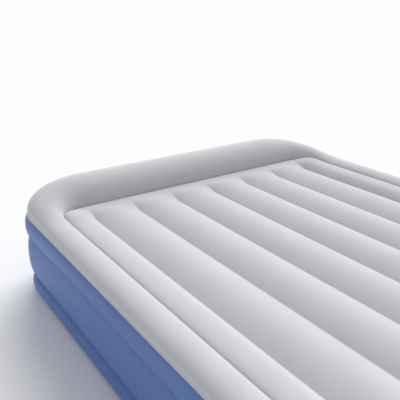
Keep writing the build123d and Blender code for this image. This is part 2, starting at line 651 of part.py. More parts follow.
# ---- Pump: power switch ----
def switch_body():
    """A box behind the face, with a pocket for the rocker and holes for its pins."""
    w, h = SWITCH_W - SOFT_GAP, SWITCH_H - SOFT_GAP
    body = plate_y(w, h, 0, SWITCH_U, SWITCH_V, FACE_BACK_Y - SWITCH_DEPTH, FACE_Y)
    body -= plate_y(w - 2 * SWITCH_WALL, h - 2 * SWITCH_WALL, 0, SWITCH_U, SWITCH_V,
                    FACE_BACK_Y - SWITCH_DEPTH + 2, FACE_Y + 1)
    pin = Cylinder(ROCKER_PIN_R + RUNNING_GAP, h + 2)
    return body - Pos(*at_pump(SWITCH_U, SWITCH_V, SWITCH_PIVOT_Y)) * pin


def power_switch():
    """The rocker, resting with its off end pressed in."""
    length = SWITCH_W - 2 * SWITCH_WALL - 4 * SOFT_GAP
    height = SWITCH_H - 2 * SWITCH_WALL - 3 * SOFT_GAP
    rise = FACE_Y + 0.2 - SWITCH_PIVOT_Y
    tip = length / 2 * math.tan(math.radians(ROCKER_TILT_DEG))
    outline = Polyline((-length / 2, -2.0), (-length / 2 + 1, rise + tip - 1.5), (0, rise - 1.5),
                       (length / 2 - 1, rise + tip - 1.5), (length / 2, -2.0), (0, -4.5), close=True)
    blade = extrude(make_face(outline.edges()), amount=height / 2, both=True)
    rocker = blade + Cylinder(ROCKER_PIN_R, SWITCH_H - SOFT_GAP - 1)
    return Pos(*at_pump(SWITCH_U, SWITCH_V, SWITCH_PIVOT_Y)) * Rot(0, 0, -ROCKER_TILT_DEG) * rocker


# ---- Pump: cord compartment ----
def hatch_rod(radius, length):
    """A round bar on the hatch's hinge axis."""
    return Pos(PUMP_X + TRAY_U, HATCH_AXIS_Y, HATCH_AXIS_Z) * Rot(0, 90, 0) * Cylinder(radius, length)


def cord_compartment():
    back = FACE_BACK_Y - TRAY_DEPTH
    tray = plate_y(TRAY_W, TRAY_H, 0, TRAY_U, 0, back, FACE_BACK_Y)
    tray -= plate_y(TRAY_INNER_W, TRAY_INNER_H, 0, TRAY_U, 0, back + TRAY_WALL, FACE_BACK_Y + 1)
    tray -= rod_y(GLAND_R - 1.5, TRAY_U, -TRAY_H / 4, back - 1, back + TRAY_WALL + 1)
    return tray - hatch_rod(HATCH_PIN_R, HATCH_PIN_LENGTH)


def cord_gland():
    """The strain-relieving bush in the compartment's back wall."""
    back = FACE_BACK_Y - TRAY_DEPTH
    front = back + TRAY_WALL
    v = -TRAY_H / 4
    bush = rod_y(GLAND_R, TRAY_U, v, front, front + 2)
    bush += rod_y(GLAND_R - 1.5, TRAY_U, v, back - 1, front)
    bush += rod_y(GLAND_R - 2.5, TRAY_U, v, front + 2, front + GLAND_LENGTH)
    return bush - rod_y(GLAND_BORE_R, TRAY_U, v, back - 2, front + GLAND_LENGTH + 1)


def cord_hatch():
    """The door over the cord compartment, with its hinge barrel along the top."""
    inner_w, inner_h = TRAY_W - 2 * TRAY_WALL, TRAY_H - 2 * TRAY_WALL
    z_low = PUMP_Z - inner_h / 2 + SOFT_GAP
    x = PUMP_X + TRAY_U
    width = inner_w - 2 * SOFT_GAP
    height = HATCH_AXIS_Z - z_low
    door = Pos(x, FACE_Y - HATCH_T / 2, z_low + height / 2) * Box(width, HATCH_T, height)
    notch = Pos(x, FACE_Y, z_low) * Rot(0, 90, 0) * Cylinder(HATCH_NOTCH_R, HATCH_NOTCH_W)
    barrel = hatch_rod(HATCH_BARREL_R, width)
    return door + barrel - notch - hatch_rod(HATCH_PIN_R + RUNNING_GAP, width + 2)


def hatch_pin():
    return hatch_rod(HATCH_PIN_R, HATCH_PIN_LENGTH)


# ---- Pump: motor and blower ----
def volute():
    """The round wall of the blower, open on the side that faces the selector."""
    wall = tube_y(VOLUTE_R, VOLUTE_R - VOLUTE_WALL, MOTOR_U, 0, HOUSING_FLOOR_Y, BRACKET_BACK_Y)
    plane = Plane(origin=at_pump(MOTOR_U - VOLUTE_R, 0, BLOWER_Y), x_dir=(0, 1, 0), z_dir=(1, 0, 0))
    return wall - extrude(plane * Rectangle(PORT_L, PORT_H), amount=10, both=True)


def motor_bracket():
    """The plate that closes the blower and carries the motor, with intake holes."""
    plate = rod_y(VOLUTE_R, MOTOR_U, 0, BRACKET_BACK_Y, MOTOR_BACK_Y)
    plate -= rod_y(MOTOR_SHAFT_R + RUNNING_GAP, MOTOR_U, 0, BRACKET_BACK_Y - 1, MOTOR_BACK_Y + 1)
    r = (MOTOR_R + IMPELLER_R) / 2
    for i in range(BRACKET_HOLES):
        a = 2 * math.pi * (i + 0.5) / BRACKET_HOLES
        u, v = MOTOR_U + r * math.cos(a), r * math.sin(a)
        plate -= rod_y(BRACKET_HOLE_R, u, v, BRACKET_BACK_Y - 1, MOTOR_BACK_Y + 1)
    for u, v in motor_screw_places():
        plate -= rod_y(SCREW_HOLE_R, u, v, BRACKET_BACK_Y - 1, MOTOR_BACK_Y + 1)
    return plate


def motor_screw_places():
    r = MOTOR_R - 6
    return [(MOTOR_U + r, 0), (MOTOR_U - r, 0)]


def motor_screws():
    screws = []
    for u, v in motor_screw_places():
        head = rod_y(2.6, u, v, BRACKET_BACK_Y - 1.0, BRACKET_BACK_Y)
        screws.append((head + rod_y(SCREW_R, u, v, BRACKET_BACK_Y, MOTOR_BACK_Y + MOTOR_WALL)).solid())
    return Compound(screws)


def motor_can():
    y0, y1 = MOTOR_BACK_Y, MOTOR_BACK_Y + MOTOR_LENGTH
    can = rod_y(MOTOR_R, MOTOR_U, 0, y0, y1)
    can -= rod_y(MOTOR_R - MOTOR_WALL, MOTOR_U, 0, y0 + MOTOR_WALL, y1 - MOTOR_WALL)
    can -= rod_y(MOTOR_SHAFT_R + RUNNING_GAP, MOTOR_U, 0, y0 - 1, y1 + 1)
    for u, v in motor_screw_places():
        can -= rod_y(SCREW_HOLE_R, u, v, y0 - 1, y0 + MOTOR_WALL + 0.5)
    return can


def motor_magnets():
    """Two curved magnets against the can, left and right of the armature."""
    y0, y1 = MOTOR_BACK_Y + MOTOR_WALL + 3, MOTOR_BACK_Y + MOTOR_LENGTH - MOTOR_WALL - 3
    outer = MOTOR_R - MOTOR_WALL
    ring = tube_y(outer, outer - MAGNET_T, MOTOR_U, 0, y0, y1)
    cutter = Pos(*at_pump(MOTOR_U, 0, (y0 + y1) / 2)) * Box(2 * outer + 2, y1 - y0 + 2, 16)
    halves = (ring - cutter).solids()
    return Compound(list(halves))


def motor_shaft():
    return rod_y(MOTOR_SHAFT_R, MOTOR_U, 0, HOUSING_FLOOR_Y + 2, MOTOR_BACK_Y + MOTOR_LENGTH + 1)


def motor_armature():
    back = MOTOR_BACK_Y + (MOTOR_LENGTH - ARMATURE_LENGTH) / 2
    return tube_y(ARMATURE_R, MOTOR_SHAFT_R, MOTOR_U, 0, back, back + ARMATURE_LENGTH)


def impeller():
    y0 = HOUSING_FLOOR_Y + 2
    wheel = rod_y(IMPELLER_R, MOTOR_U, 0, y0, y0 + IMPELLER_PLATE_T)
    wheel += rod_y(7.0, MOTOR_U, 0, y0, y0 + IMPELLER_HEIGHT)
    for i in range(IMPELLER_BLADES):
        blade = Pos(IMPELLER_R / 2 + 3, 0, 0) * Rot(0, 18, 0) * Box(IMPELLER_R - 9, IMPELLER_HEIGHT, 1.2)
        wheel += (Pos(*at_pump(MOTOR_U, 0, y0 + IMPELLER_HEIGHT / 2))
                  * Rot(0, 360 / IMPELLER_BLADES * i, 0) * blade)
    wheel -= rod_y(MOTOR_SHAFT_R, MOTOR_U, 0, y0 - 1, y0 + IMPELLER_HEIGHT + 1)
    return wheel


def outlet_duct():
    """The square duct from the blower's opening to the selector's sleeve."""
    x0 = PUMP_X + DIAL_U + DRUM_R + SOFT_GAP + SLEEVE_WALL
    x1 = PUMP_X + MOTOR_U - VOLUTE_R
    plane = Plane(origin=(x0, BLOWER_Y, PUMP_Z), x_dir=(0, 1, 0), z_dir=(1, 0, 0))
    outer = Rectangle(PORT_L + 3, PORT_H + 3)
    return extrude(plane * (outer - Rectangle(PORT_L, PORT_H)), amount=x1 - x0)


# ---- All nodes ----
def build_nodes():
    nodes = {
        "channel_panel": channel_panel(),
        "pillow_cover": pillow_cover(),
        "side_rim_left": side_rim(-1),
        "side_rim_right": side_rim(1),
        "foot_rim": foot_rim(),
        "upper_wall_band": upper_wall_band(),
        "middle_wall_band": middle_wall_band(),
        "lower_wall_band": lower_wall_band(),
        "bottom_sheet": bottom_sheet(),
        "head_web": head_web(),
        "upper_waist_ribbon": waist_ribbon(UPPER_CREASE_INSET, Z_UPPER_CREASE),
        "lower_waist_ribbon": waist_ribbon(LOWER_CREASE_INSET, Z_LOWER_CREASE),
    }
    for i, x in enumerate(seam_places()):
        nodes[f"long_beam_{i + 1}"] = long_beam(x)
    pump = [pump_collar, clamp_ring, face_gasket, pump_housing, face_panel, face_screws, intake_grille,
            intake_filter, control_dial, selector_drum, valve_sleeve, valve_seat, valve_plate, valve_spring,
            switch_body, power_switch, cord_compartment, cord_gland, cord_hatch, hatch_pin, volute,
            outlet_duct, motor_bracket, motor_screws, motor_can, motor_magnets, motor_shaft,
            motor_armature, impeller]
    for make in pump:
        nodes[make.__name__] = make()
    return nodes


def main():
    os.makedirs("parts", exist_ok=True)
    for name, shape in build_nodes().items():
        export_step(shape, f"parts/{name}.step")


main()
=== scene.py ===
"""A raised queen-size airbed with a flocked, channelled top, a built-in pillow and a head-wall pump."""

import json
import math

import bmesh
import bpy
import numpy as np
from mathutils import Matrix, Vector


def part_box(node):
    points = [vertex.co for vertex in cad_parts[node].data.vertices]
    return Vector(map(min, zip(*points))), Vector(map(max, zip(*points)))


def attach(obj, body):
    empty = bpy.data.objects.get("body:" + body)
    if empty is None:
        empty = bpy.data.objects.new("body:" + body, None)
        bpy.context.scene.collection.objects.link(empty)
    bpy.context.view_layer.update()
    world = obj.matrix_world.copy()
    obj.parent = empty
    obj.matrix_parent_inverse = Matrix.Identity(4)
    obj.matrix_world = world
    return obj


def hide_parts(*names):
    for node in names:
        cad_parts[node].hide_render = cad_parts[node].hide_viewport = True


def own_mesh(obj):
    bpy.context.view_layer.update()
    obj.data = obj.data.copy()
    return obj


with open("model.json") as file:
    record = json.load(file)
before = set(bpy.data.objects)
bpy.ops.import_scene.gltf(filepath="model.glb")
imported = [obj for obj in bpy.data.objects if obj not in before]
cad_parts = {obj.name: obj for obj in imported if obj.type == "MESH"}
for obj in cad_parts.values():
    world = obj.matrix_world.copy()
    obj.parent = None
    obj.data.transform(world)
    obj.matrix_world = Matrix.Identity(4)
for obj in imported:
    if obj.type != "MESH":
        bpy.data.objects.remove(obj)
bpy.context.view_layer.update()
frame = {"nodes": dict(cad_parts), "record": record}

bl_info = {
    "name": "Raised Airbed",
    "version": (1, 0, 0),
    "blender": (4, 5, 0),
    "location": "View3D > Sidebar > Airbed",
    "description": "Builds the looks of a raised airbed around its packed frame",
    "category": "Object",
}

MM = 0.001

# Skins, in metres
BAND_POWER = 2.6             # the higher, the squarer a wall band's bulge
UPPER_BULGE_INSET = 0.0005   # the upper band's bulge behind the widest line
LOWER_BULGE_INSET = 0.004
CREASE_GAP = 0.0012          # from a band's edge to its crease line
CREASE_DEPTH = 0.0011        # of the small creases at the welds and round the pump
SKIRT = 0.006                # how far the top skins run down inside their seam
PUMP_DRAW = 0.075            # the wall is drawn in to the pump over this width
WALL_STEP = 0.018            # spacing of the wall's columns on its straights

# Channels: shares of their height, and metres from the panel's end
CROWN_POWER = 0.9
EDGE_POWER = 2.2
VALLEY_RUN = 0.10            # a valley deepens over this length
SEAM_RUN = 0.05              # the end seam's level fades over this length
END_SINK = 0.35
END_SINK_RUN = 0.12
SIDE_SINK = 0.5
SIDE_SINK_START = 0.03
SIDE_SINK_RUN = 0.15

# On the pump's face, in millimetres from its middle or from what a mark belongs to
SCREW_SPOTS = [(-107, 45.1), (0, 65), (107, 45.1), (107, -45.1), (0, -65), (-107, -45.1)]
DIAL_MARK = 38.5
DIAL_TURN = math.radians(60)
SWITCH_MARK = 17

# Light and camera
AMBIENT = 0.50
KEY_STRENGTH = 3.55
KEY_SOFTNESS = 60.0          # degrees across
KEY_FROM = (0.65, 0.60, 0.45)
FLOOR_HALF = 60
CAMERA_PLACE = (-1.258, -1.085, 1.118)
CAMERA_LENS = 47.95
CAMERA_DIP = 21.34           # degrees below level
CAMERA_TURN = -34.56         # degrees about Z


def linear(hex_colour):
    """An sRGB hex colour as linear RGBA."""
    values = [int(hex_colour[i:i + 2], 16) / 255 for i in (1, 3, 5)]
    return tuple(v / 12.92 if v <= 0.04045 else ((v + 0.055) / 1.055) ** 2.4 for v in values) + (1.0,)


# ---- Places read from the frame ----
UPPER_LOW, UPPER_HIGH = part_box("upper_wall_band")
COLLAR_LOW, COLLAR_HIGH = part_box("pump_collar")
FACE_LOW, FACE_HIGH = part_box("face_panel")
DIAL_LOW, DIAL_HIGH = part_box("control_dial")
GRILLE_LOW, GRILLE_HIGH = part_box("intake_grille")
ROCKER_LOW, ROCKER_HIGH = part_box("power_switch")
PUMP_MIDDLE = (FACE_LOW + FACE_HIGH) / 2

HALF_WIDTH = UPPER_HIGH.x
HALF_LENGTH = UPPER_HIGH.y
Z_TOP_WELD = UPPER_HIGH.z
Z_UPPER_CREASE = UPPER_LOW.z
Z_LOWER_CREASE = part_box("middle_wall_band")[0].z
BLEND_START_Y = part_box("side_rim_left")[1].y


def length_prop(name, text, default):
    """A size in metres that a user may change."""
    return bpy.props.FloatProperty(name=name, description=text, default=default, min=0.0,
                                   subtype="DISTANCE", unit="LENGTH")


def colour_prop(name, text, hex_colour):
    """A colour that a user may change."""
    return bpy.props.FloatVectorProperty(name=name, description=text, size=4, subtype="COLOR",
                                         min=0.0, max=1.0, default=linear(hex_colour))


class AirbedShape(bpy.types.PropertyGroup):
    """Sizes of the inflated skins."""

    channels: bpy.props.IntProperty(name="Channels", description="Lengthwise channels",
                                    default=8, min=3)
    outer_channel: length_prop("Outer channel", "Width of the first and last channels", 0.110)
    channel_rise: length_prop("Channel rise", "Height of a channel's crest above its valleys", 0.025)
    valley_drop: length_prop("Valley drop", "Depth of the valleys under the top weld", 0.006)
    side_seam_rise: length_prop("Side seam rise", "Height of the rim's inner seam above the weld", 0.014)
    head_seam_rise: length_prop("Head seam rise", "Height of the pillow's seam above the weld", 0.002)
    seam_stop: length_prop("Seam stop", "How far the valleys end before the panel does", 0.046)
    edge_roll: length_prop("Edge roll", "Width over which the panel's edge rolls down", 0.046)
    head_corner: length_prop("Head corner", "Plan radius of the panel at the head", 0.105)
    wall_corner: length_prop("Wall corner", "Plan radius of the bulged wall", 0.250)
    top_weld_inset: length_prop("Top weld inset", "Top weld behind the wall's bulge", 0.015)
    upper_crease_inset: length_prop("Upper crease inset", "Upper crease behind the bulge", 0.012)
    lower_crease_inset: length_prop("Lower crease inset", "Lower crease behind the bulge", 0.020)
    floor_inset: length_prop("Floor inset", "Bottom weld behind the bulge", 0.045)
    rim_width: length_prop("Rim width", "Side rim from seam to weld", 0.095)
    pillow_depth: length_prop("Pillow depth", "Pillow from seam to weld", 0.239)
    rim_lift: length_prop("Rim lift", "Handle length that lifts the rim's outer side", 0.047)
    rim_slope: length_prop("Rim slope", "How much less the rim's inner side is lifted", 0.024)
    pillow_lift: length_prop("Pillow lift", "Handle length that lifts the pillow's crest", 0.121)
    weld_lip: length_prop("Weld lip", "How far the flocked cover laps over the wall", 0.0035)


class AirbedFinish(bpy.types.PropertyGroup):
    """Colours of the materials."""

    flock: colour_prop("Flock", "Flocked top", "#CDCED2")
    wall: colour_prop("Wall", "Side wall", "#597ABB")
    base: colour_prop("Base", "Bottom sheet", "#3B4A70")
    pump: colour_prop("Pump", "Pump housing and face", "#39415A")
    control: colour_prop("Control", "Dial and hatch", "#C9CDD6")


# ---- Mesh helpers ----
def placed(name, data):
    """A new object of this data in the scene."""
    thing = bpy.data.objects.new(name, data)
    bpy.context.scene.collection.objects.link(thing)
    return thing


def smooth_faces(mesh):
    """Shades every face of a mesh smooth."""
    mesh.polygons.foreach_set("use_smooth", [True] * len(mesh.polygons))


def mesh_piece(name, vertices, faces):
    """A new mesh object in the scene, with its place in its vertices."""
    mesh = bpy.data.meshes.new(name)
    mesh.from_pydata([tuple(v) for v in vertices], [], [tuple(f) for f in faces])
    mesh.validate()
    mesh.update()
    smooth_faces(mesh)
    return placed(name, mesh)


def bmesh_piece(name, shape):
    """A new mesh object from a bmesh, which is then freed."""
    mesh = bpy.data.meshes.new(name)
    shape.to_mesh(mesh)
    shape.free()
    return placed(name, mesh)


def grid_faces(rows, columns, wrap_rows=False):
    """Quads over a rows x columns grid of vertices, optionally closed round the rows."""
    faces = []
    last = rows if wrap_rows else rows - 1
    for i in range(last):
        a, b = i * columns, ((i + 1) % rows) * columns
        for j in range(columns - 1):
            faces.append((a + j, b + j, b + j + 1, a + j + 1))
    return faces


def grid_points(*grids):
    """The vertices of a grid from its three coordinate arrays."""
    return np.stack([grid.ravel() for grid in grids], 1)


def plain_mesh(piece):
    """Bakes a piece's modifiers into a plain mesh."""
    graph = bpy.context.evaluated_depsgraph_get()
    baked = bpy.data.meshes.new_from_object(piece.evaluated_get(graph))
    piece.modifiers.clear()
    piece.data = baked
    return piece


def face_outwards(piece):
    """Merges doubles and turns every face of a closed piece outwards."""
    shape = bmesh.new()
    shape.from_mesh(piece.data)
    bmesh.ops.remove_doubles(shape, verts=shape.verts, dist=1e-5)
    bmesh.ops.recalc_face_normals(shape, faces=shape.faces)
    shape.to_mesh(piece.data)
    shape.free()
    return piece


def softened_copy(node, name, width):
    """A copy of a CAD node with its doubles merged and its hard edges rounded."""
    piece = frame["nodes"][node].copy()
    piece.data = piece.data.copy()
    for key in list(piece.keys()):
        del piece[key]
    piece.name = name
    piece.parent = None
    bpy.context.scene.collection.objects.link(piece)
    shape = bmesh.new()
    shape.from_mesh(piece.data)
    bmesh.ops.remove_doubles(shape, verts=shape.verts, dist=2e-6)
    bmesh.ops.dissolve_limit(shape, angle_limit=math.radians(1.0), verts=shape.verts, edges=shape.edges)
    shape.to_mesh(piece.data)
    shape.free()
    piece.data.materials.clear()
    if width > 0:
        bevel = piece.modifiers.new("Edge", "BEVEL")
        bevel.width = width
        bevel.segments = 2
        bevel.limit_method = "ANGLE"
        bevel.angle_limit = math.radians(40)
    smooth_faces(piece.data)
    even = piece.modifiers.new("Even", "WEIGHTED_NORMAL")
    even.weight = 100
    return plain_mesh(piece)


def finish_piece(piece, body, slot_name, nodes=()):
    """Gives a piece its body and the material made for a slot, and hides the CAD nodes that it stands for."""
    piece.data.materials.clear()
    piece.data.materials.append(FINISHES[slot_name]())
    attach(piece, body)
    if nodes:
        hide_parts(*nodes)
    return piece


# ---- Plan curves ----
def plan_lines(shape):
    """The top weld's half width, half length and corner radius, and the seam's half width, foot and head."""
    weld_x = HALF_WIDTH - shape.top_weld_inset
    weld_y = HALF_LENGTH - shape.top_weld_inset
    weld_r = shape.wall_corner - shape.top_weld_inset
    foot_y, head_y = -(weld_y - shape.rim_width), weld_y - shape.pillow_depth
    return weld_x, weld_y, weld_r, weld_x - shape.rim_width, foot_y, head_y


def inner_channels(shape, half_width):
    """Half the width that the inner channels share, and the pitch of their seams."""
    inner = half_width - shape.outer_channel
    return inner, 2 * inner / (shape.channels - 2)


def smooth_step(t):
    """Eases from 0 to 1, and stays level outside that."""
    t = np.clip(t, 0.0, 1.0)
    return t * t * (3 - 2 * t)


def loop_stations(shape):
    """Matching points on the panel's seam and the top weld, all round the bed, with the cover's blend.

    Each station is (seam point, weld point, blend), where blend is 0 on the low rim and 1 on the pillow.
    """
    weld_x, weld_y, weld_r, seam_x, foot_y, head_y = plan_lines(shape)
    corner = (weld_x - weld_r, -(weld_y - weld_r))
    foot_r = weld_r - shape.rim_width
    blend_x = seam_x - (head_y - BLEND_START_Y)
    half = []
    for x in np.linspace(0, corner[0], 27)[:-1]:
        half.append(((x, foot_y), (x, -weld_y), 0.0))
    for a in np.linspace(-math.pi / 2, 0, 25)[:-1]:
        c, s = math.cos(a), math.sin(a)
        half.append(((corner[0] + foot_r * c, corner[1] + foot_r * s),
                     (corner[0] + weld_r * c, corner[1] + weld_r * s), 0.0))
    for y in np.linspace(corner[1], BLEND_START_Y, 67)[:-1]:
        half.append(((seam_x, y), (weld_x, y), 0.0))
    for share in np.linspace(1, 0, 65)[:-1]:
        inner = corner_route(seam_x, head_y, shape.head_corner, blend_x, BLEND_START_Y, share)
        outer = corner_route(weld_x, weld_y, weld_r, blend_x, BLEND_START_Y, share)
        half.append((inner, outer, 1 - float(smooth_step(share))))
    for x in np.linspace(blend_x, 0, 24):
        half.append(((x, head_y), (x, weld_y), 1.0))
    mirrored = [((-i[0], i[1]), (-o[0], o[1]), b) for i, o, b in half[-2:0:-1]]
    return half + mirrored


def corner_route(half_w, head_y, radius, start_x, end_y, share):
    """A point part of the way along a straight, an arc and a straight, at the head's +X corner."""
    cx, cy = half_w - radius, head_y - radius
    first, turn, last = cx - start_x, radius * math.pi / 2, cy - end_y
    s = share * (first + turn + last)
    if s <= first:
        return start_x + s, head_y
    if s <= first + turn:
        a = math.pi / 2 - (s - first) / radius
        return cx + radius * math.cos(a), cy + radius * math.sin(a)
    return half_w, cy - (s - first - turn)


def rounded_loop(half_w, half_l, radius, step):
    """Points and outward directions round a rounded rectangle, evenly enough for a wall."""
    points, normals = [], []
    cx, cy = half_w - radius, half_l - radius
    turns = 28  # columns round each corner
    for quarter, (sx, sy) in enumerate(((1, 1), (-1, 1), (-1, -1), (1, -1))):
        for k in range(turns):
            a = math.pi / 2 * (quarter + k / turns)
            c, s = math.cos(a), math.sin(a)
            points.append((sx * cx + radius * c, sy * cy + radius * s))
            normals.append((c, s))
        a = math.pi / 2 * (quarter + 1)
        c, s = math.cos(a), math.sin(a)
        run = 2 * (cx if quarter % 2 == 0 else cy)
        start = (sx * cx + radius * c, sy * cy + radius * s)
        count = max(2, int(round(run / step)))
        for k in range(count):
            points.append((start[0] - s * run * k / count, start[1] + c * run * k / count))
            normals.append((c, s))
    return np.array(points), np.array(normals)


def run_along(points):
    """Distance from the first point to each point of a plan line."""
    return np.concatenate([[0], np.cumsum(np.hypot(*np.diff(points, axis=0).T))])


# ---- Sleeping panel ----
def channel_columns(shape, half_width):
    """Columns across the panel, close together at the seams: x, and how far up its channel each one is."""
    inner, pitch = inner_channels(shape, half_width)
    seams = [-half_width] + [-inner + i * pitch for i in range(shape.channels - 1)] + [half_width]
    xs, up = [], []
    for i, (x0, x1) in enumerate(zip(seams, seams[1:])):
        count = 14 if i in (0, shape.channels - 1) else 24
        for k in range(count):
            t = -math.cos(math.pi * k / count)
            t = 0.65 * t + 0.35 * (2 * k / count - 1)
            xs.append((x0 + x1) / 2 + t * (x1 - x0) / 2)
            at_edge = (i == 0 and t < 0) or (i == shape.channels - 1 and t > 0)
            up.append(1.0 if at_edge else (1 - t * t) ** CROWN_POWER)
    xs.append(seams[-1])
    up.append(1.0)
    return np.array(xs), np.array(up), seams


def panel_rows(y0, y1, r0, r1):
    """Rows along the panel: close together where its corners turn, 11 mm apart elsewhere."""
    ease = np.sin(np.linspace(0, math.pi / 2, 17))
    head = y1 - r1 + r1 * ease
    foot = (y0 + r0 - r0 * ease)[::-1]
    count = int((y1 - r1 - y0 - r0) / 0.011)
    return np.concatenate([foot[:-1], np.linspace(y0 + r0, y1 - r1, count), head[1:]])


def edge_distance(x, y, half_w, y0, y1, r0, r1):
    """Distance inward from the panel's rounded outline."""
    middle = (y0 + y1) / 2
    radius = np.where(y > middle, r1, r0)
    qx = np.abs(x) - (half_w - radius)
    qy = np.where(y > middle, y - (y1 - radius), (y0 + radius) - y)
    outside = np.hypot(np.maximum(qx, 0), np.maximum(qy, 0))
    return radius - outside - np.minimum(np.maximum(qx, qy), 0)


def channel_surface(shape, z_valley, z_side, z_head):
    """The inflated panel as a grid of points: channels that run out before the ends, and a rolled edge."""
    _, _, weld_r, half_w, y0, y1 = plan_lines(shape)
    r0, r1 = weld_r - shape.rim_width, shape.head_corner
    xs, up, seams = channel_columns(shape, half_w)
    ys = panel_rows(y0, y1, r0, r1)
    grid_x, grid_y = np.meshgrid(xs, ys)
    grid_up = np.tile(up, (len(ys), 1))
    # Squeeze the outer channels in where the corners turn
    inner = seams[-2]
    into_head = np.clip(grid_y - (y1 - r1), 0, r1)
    into_foot = np.clip((y0 + r0) - grid_y, 0, r0)
    reach = np.where(grid_y > 0, half_w - r1 + np.sqrt(np.maximum(r1 ** 2 - into_head ** 2, 0)),
                     half_w - r0 + np.sqrt(np.maximum(r0 ** 2 - into_foot ** 2, 0)))
    outer = np.abs(grid_x) > inner - 1e-9
    narrow = np.minimum(1.0, reach / half_w)
    share = (np.abs(grid_x) - inner) / (half_w - inner)
    squeezed = np.sign(grid_x) * (inner + share * (reach - inner))
    grid_x = np.where(reach > inner, np.where(outer, squeezed, grid_x), grid_x * narrow)
    # Valleys run out before the panel's ends
    from_end = np.minimum(y1 - grid_y, grid_y - y0)
    past_stop = from_end - shape.seam_stop
    valley = smooth_step(past_stop / VALLEY_RUN) ** 0.8 * np.where(past_stop > 0, 1, 0)
    crown = 1 - valley * (1 - grid_up)
    d = edge_distance(grid_x, grid_y, half_w, y0, y1, r0, r1)
    roll = np.clip(d / shape.edge_roll, 0, 1)
    edge = np.sqrt(np.maximum(1 - (1 - roll) ** EDGE_POWER, 0))
    # Seam level: high at the sides, low at the head, valley level within
    side_share = np.clip((np.abs(grid_x) - inner) / (half_w - inner), 0, 1)
    end_share = np.clip(1 - from_end / SEAM_RUN, 0, 1)
    z_end = np.where(grid_y > 0, z_head, z_side)
    base = z_valley + (z_side - z_valley) * side_share
    base = np.maximum(base, z_valley + (z_end - z_valley) * end_share)
    # The crests sink a little towards the ends and over the outer channels
    sink = 1 - END_SINK * smooth_step(1 - from_end / END_SINK_RUN)
    lower = 1 - SIDE_SINK * side_share * smooth_step((from_end - SIDE_SINK_START) / SIDE_SINK_RUN)
    return grid_x, grid_y, base + shape.channel_rise * crown * edge * sink * lower


def skirted(grid_x, grid_y, z, drop):
    """Adds a skirt that runs straight down from the edge of a grid surface."""
    rows, columns = z.shape
    top = grid_points(grid_x, grid_y, z)
    faces = [(a, d, c, b) for a, b, c, d in grid_faces(rows, columns)]
    rim = [(0, j) for j in range(columns)] + [(i, columns - 1) for i in range(1, rows)]
    rim += [(rows - 1, j) for j in range(columns - 2, -1, -1)]
    rim += [(i, 0) for i in range(rows - 2, 0, -1)]
    ring = [i * columns + j for i, j in rim]
    base = rows * columns
    count = len(ring)
    for k in range(count):
        n = (k + 1) % count
        faces.append((ring[k], base + k, base + n, ring[n]))
    return np.concatenate([top, top[ring] - (0, 0, drop)]), faces


class AIRBED_OT_channel_panel(bpy.types.Operator):
    """Makes the flocked sleeping panel with its inflated channels"""

    bl_idname = "airbed.channel_panel"
    bl_label = "Channel Panel"

    def execute(self, context):
        shape = context.scene.airbed_shape
        z_valley = Z_TOP_WELD - shape.valley_drop
        z_side = Z_TOP_WELD + shape.side_seam_rise
        z_head = Z_TOP_WELD + shape.head_seam_rise
        grid_x, grid_y, z = channel_surface(shape, z_valley, z_side, z_head)
        vertices, faces = skirted(grid_x, grid_y, z, SKIRT)
        piece = mesh_piece("channel_panel_skin", vertices, faces)
        finish_piece(piece, "airbed", "flocked_pvc", ["channel_panel"])
        return {"FINISHED"}


# ---- Pillow and rim ----
def cover_section(inner, outer, z_in, z_out, lifts, front, back, count):
    """Points over the cover from its seam to the weld, as a cubic Bezier curve lifted at both ends."""
    a, b = Vector((*inner, z_in)), Vector((*outer, z_out))
    across = Vector((b.x - a.x, b.y - a.y, 0)).normalized()
    p1 = a + across * front + Vector((0, 0, lifts[0]))
    p2 = b + across * back + Vector((0, 0, lifts[1]))
    points = []
    for k in range(count):
        t = k / (count - 1)
        t = 0.75 * t + 0.25 * float(smooth_step(t))
        u = 1 - t
        points.append(a * u ** 3 + p1 * (3 * u * u * t) + p2 * (3 * u * t * t) + b * t ** 3)
    return points


def cover_lip(shape, weld):
    """Points where the cover's edge laps over the wall, lies just proud of it, and closes."""
    centre_x, centre_y = HALF_WIDTH - shape.wall_corner, HALF_LENGTH - shape.wall_corner
    outward = Vector((math.copysign(max(abs(weld.x) - centre_x, 0), weld.x),
                      math.copysign(max(abs(weld.y) - centre_y, 0), weld.y), 0)).normalized()
    points = []
    # Shares of the lap, and how proud of the wall the lip is there
    for share, proud in ((0.0, 0.0009), (0.35, 0.0013), (0.75, 0.0013), (1.0, 0.0008), (1.0, -0.0012)):
        drop = share * shape.weld_lip
        out = shape.top_weld_inset - upper_wall_inset(shape, Z_TOP_WELD - drop) + proud
        points.append(weld + outward * out - Vector((0, 0, drop)))
    return points


def upper_wall_inset(shape, z):
    """How far the upper band lies behind the wall's bulge at a height near its top."""
    middle = (Z_TOP_WELD + Z_UPPER_CREASE) / 2
    share = (z - middle) / (Z_TOP_WELD - middle)
    return UPPER_BULGE_INSET + (shape.top_weld_inset - UPPER_BULGE_INSET) * share ** BAND_POWER


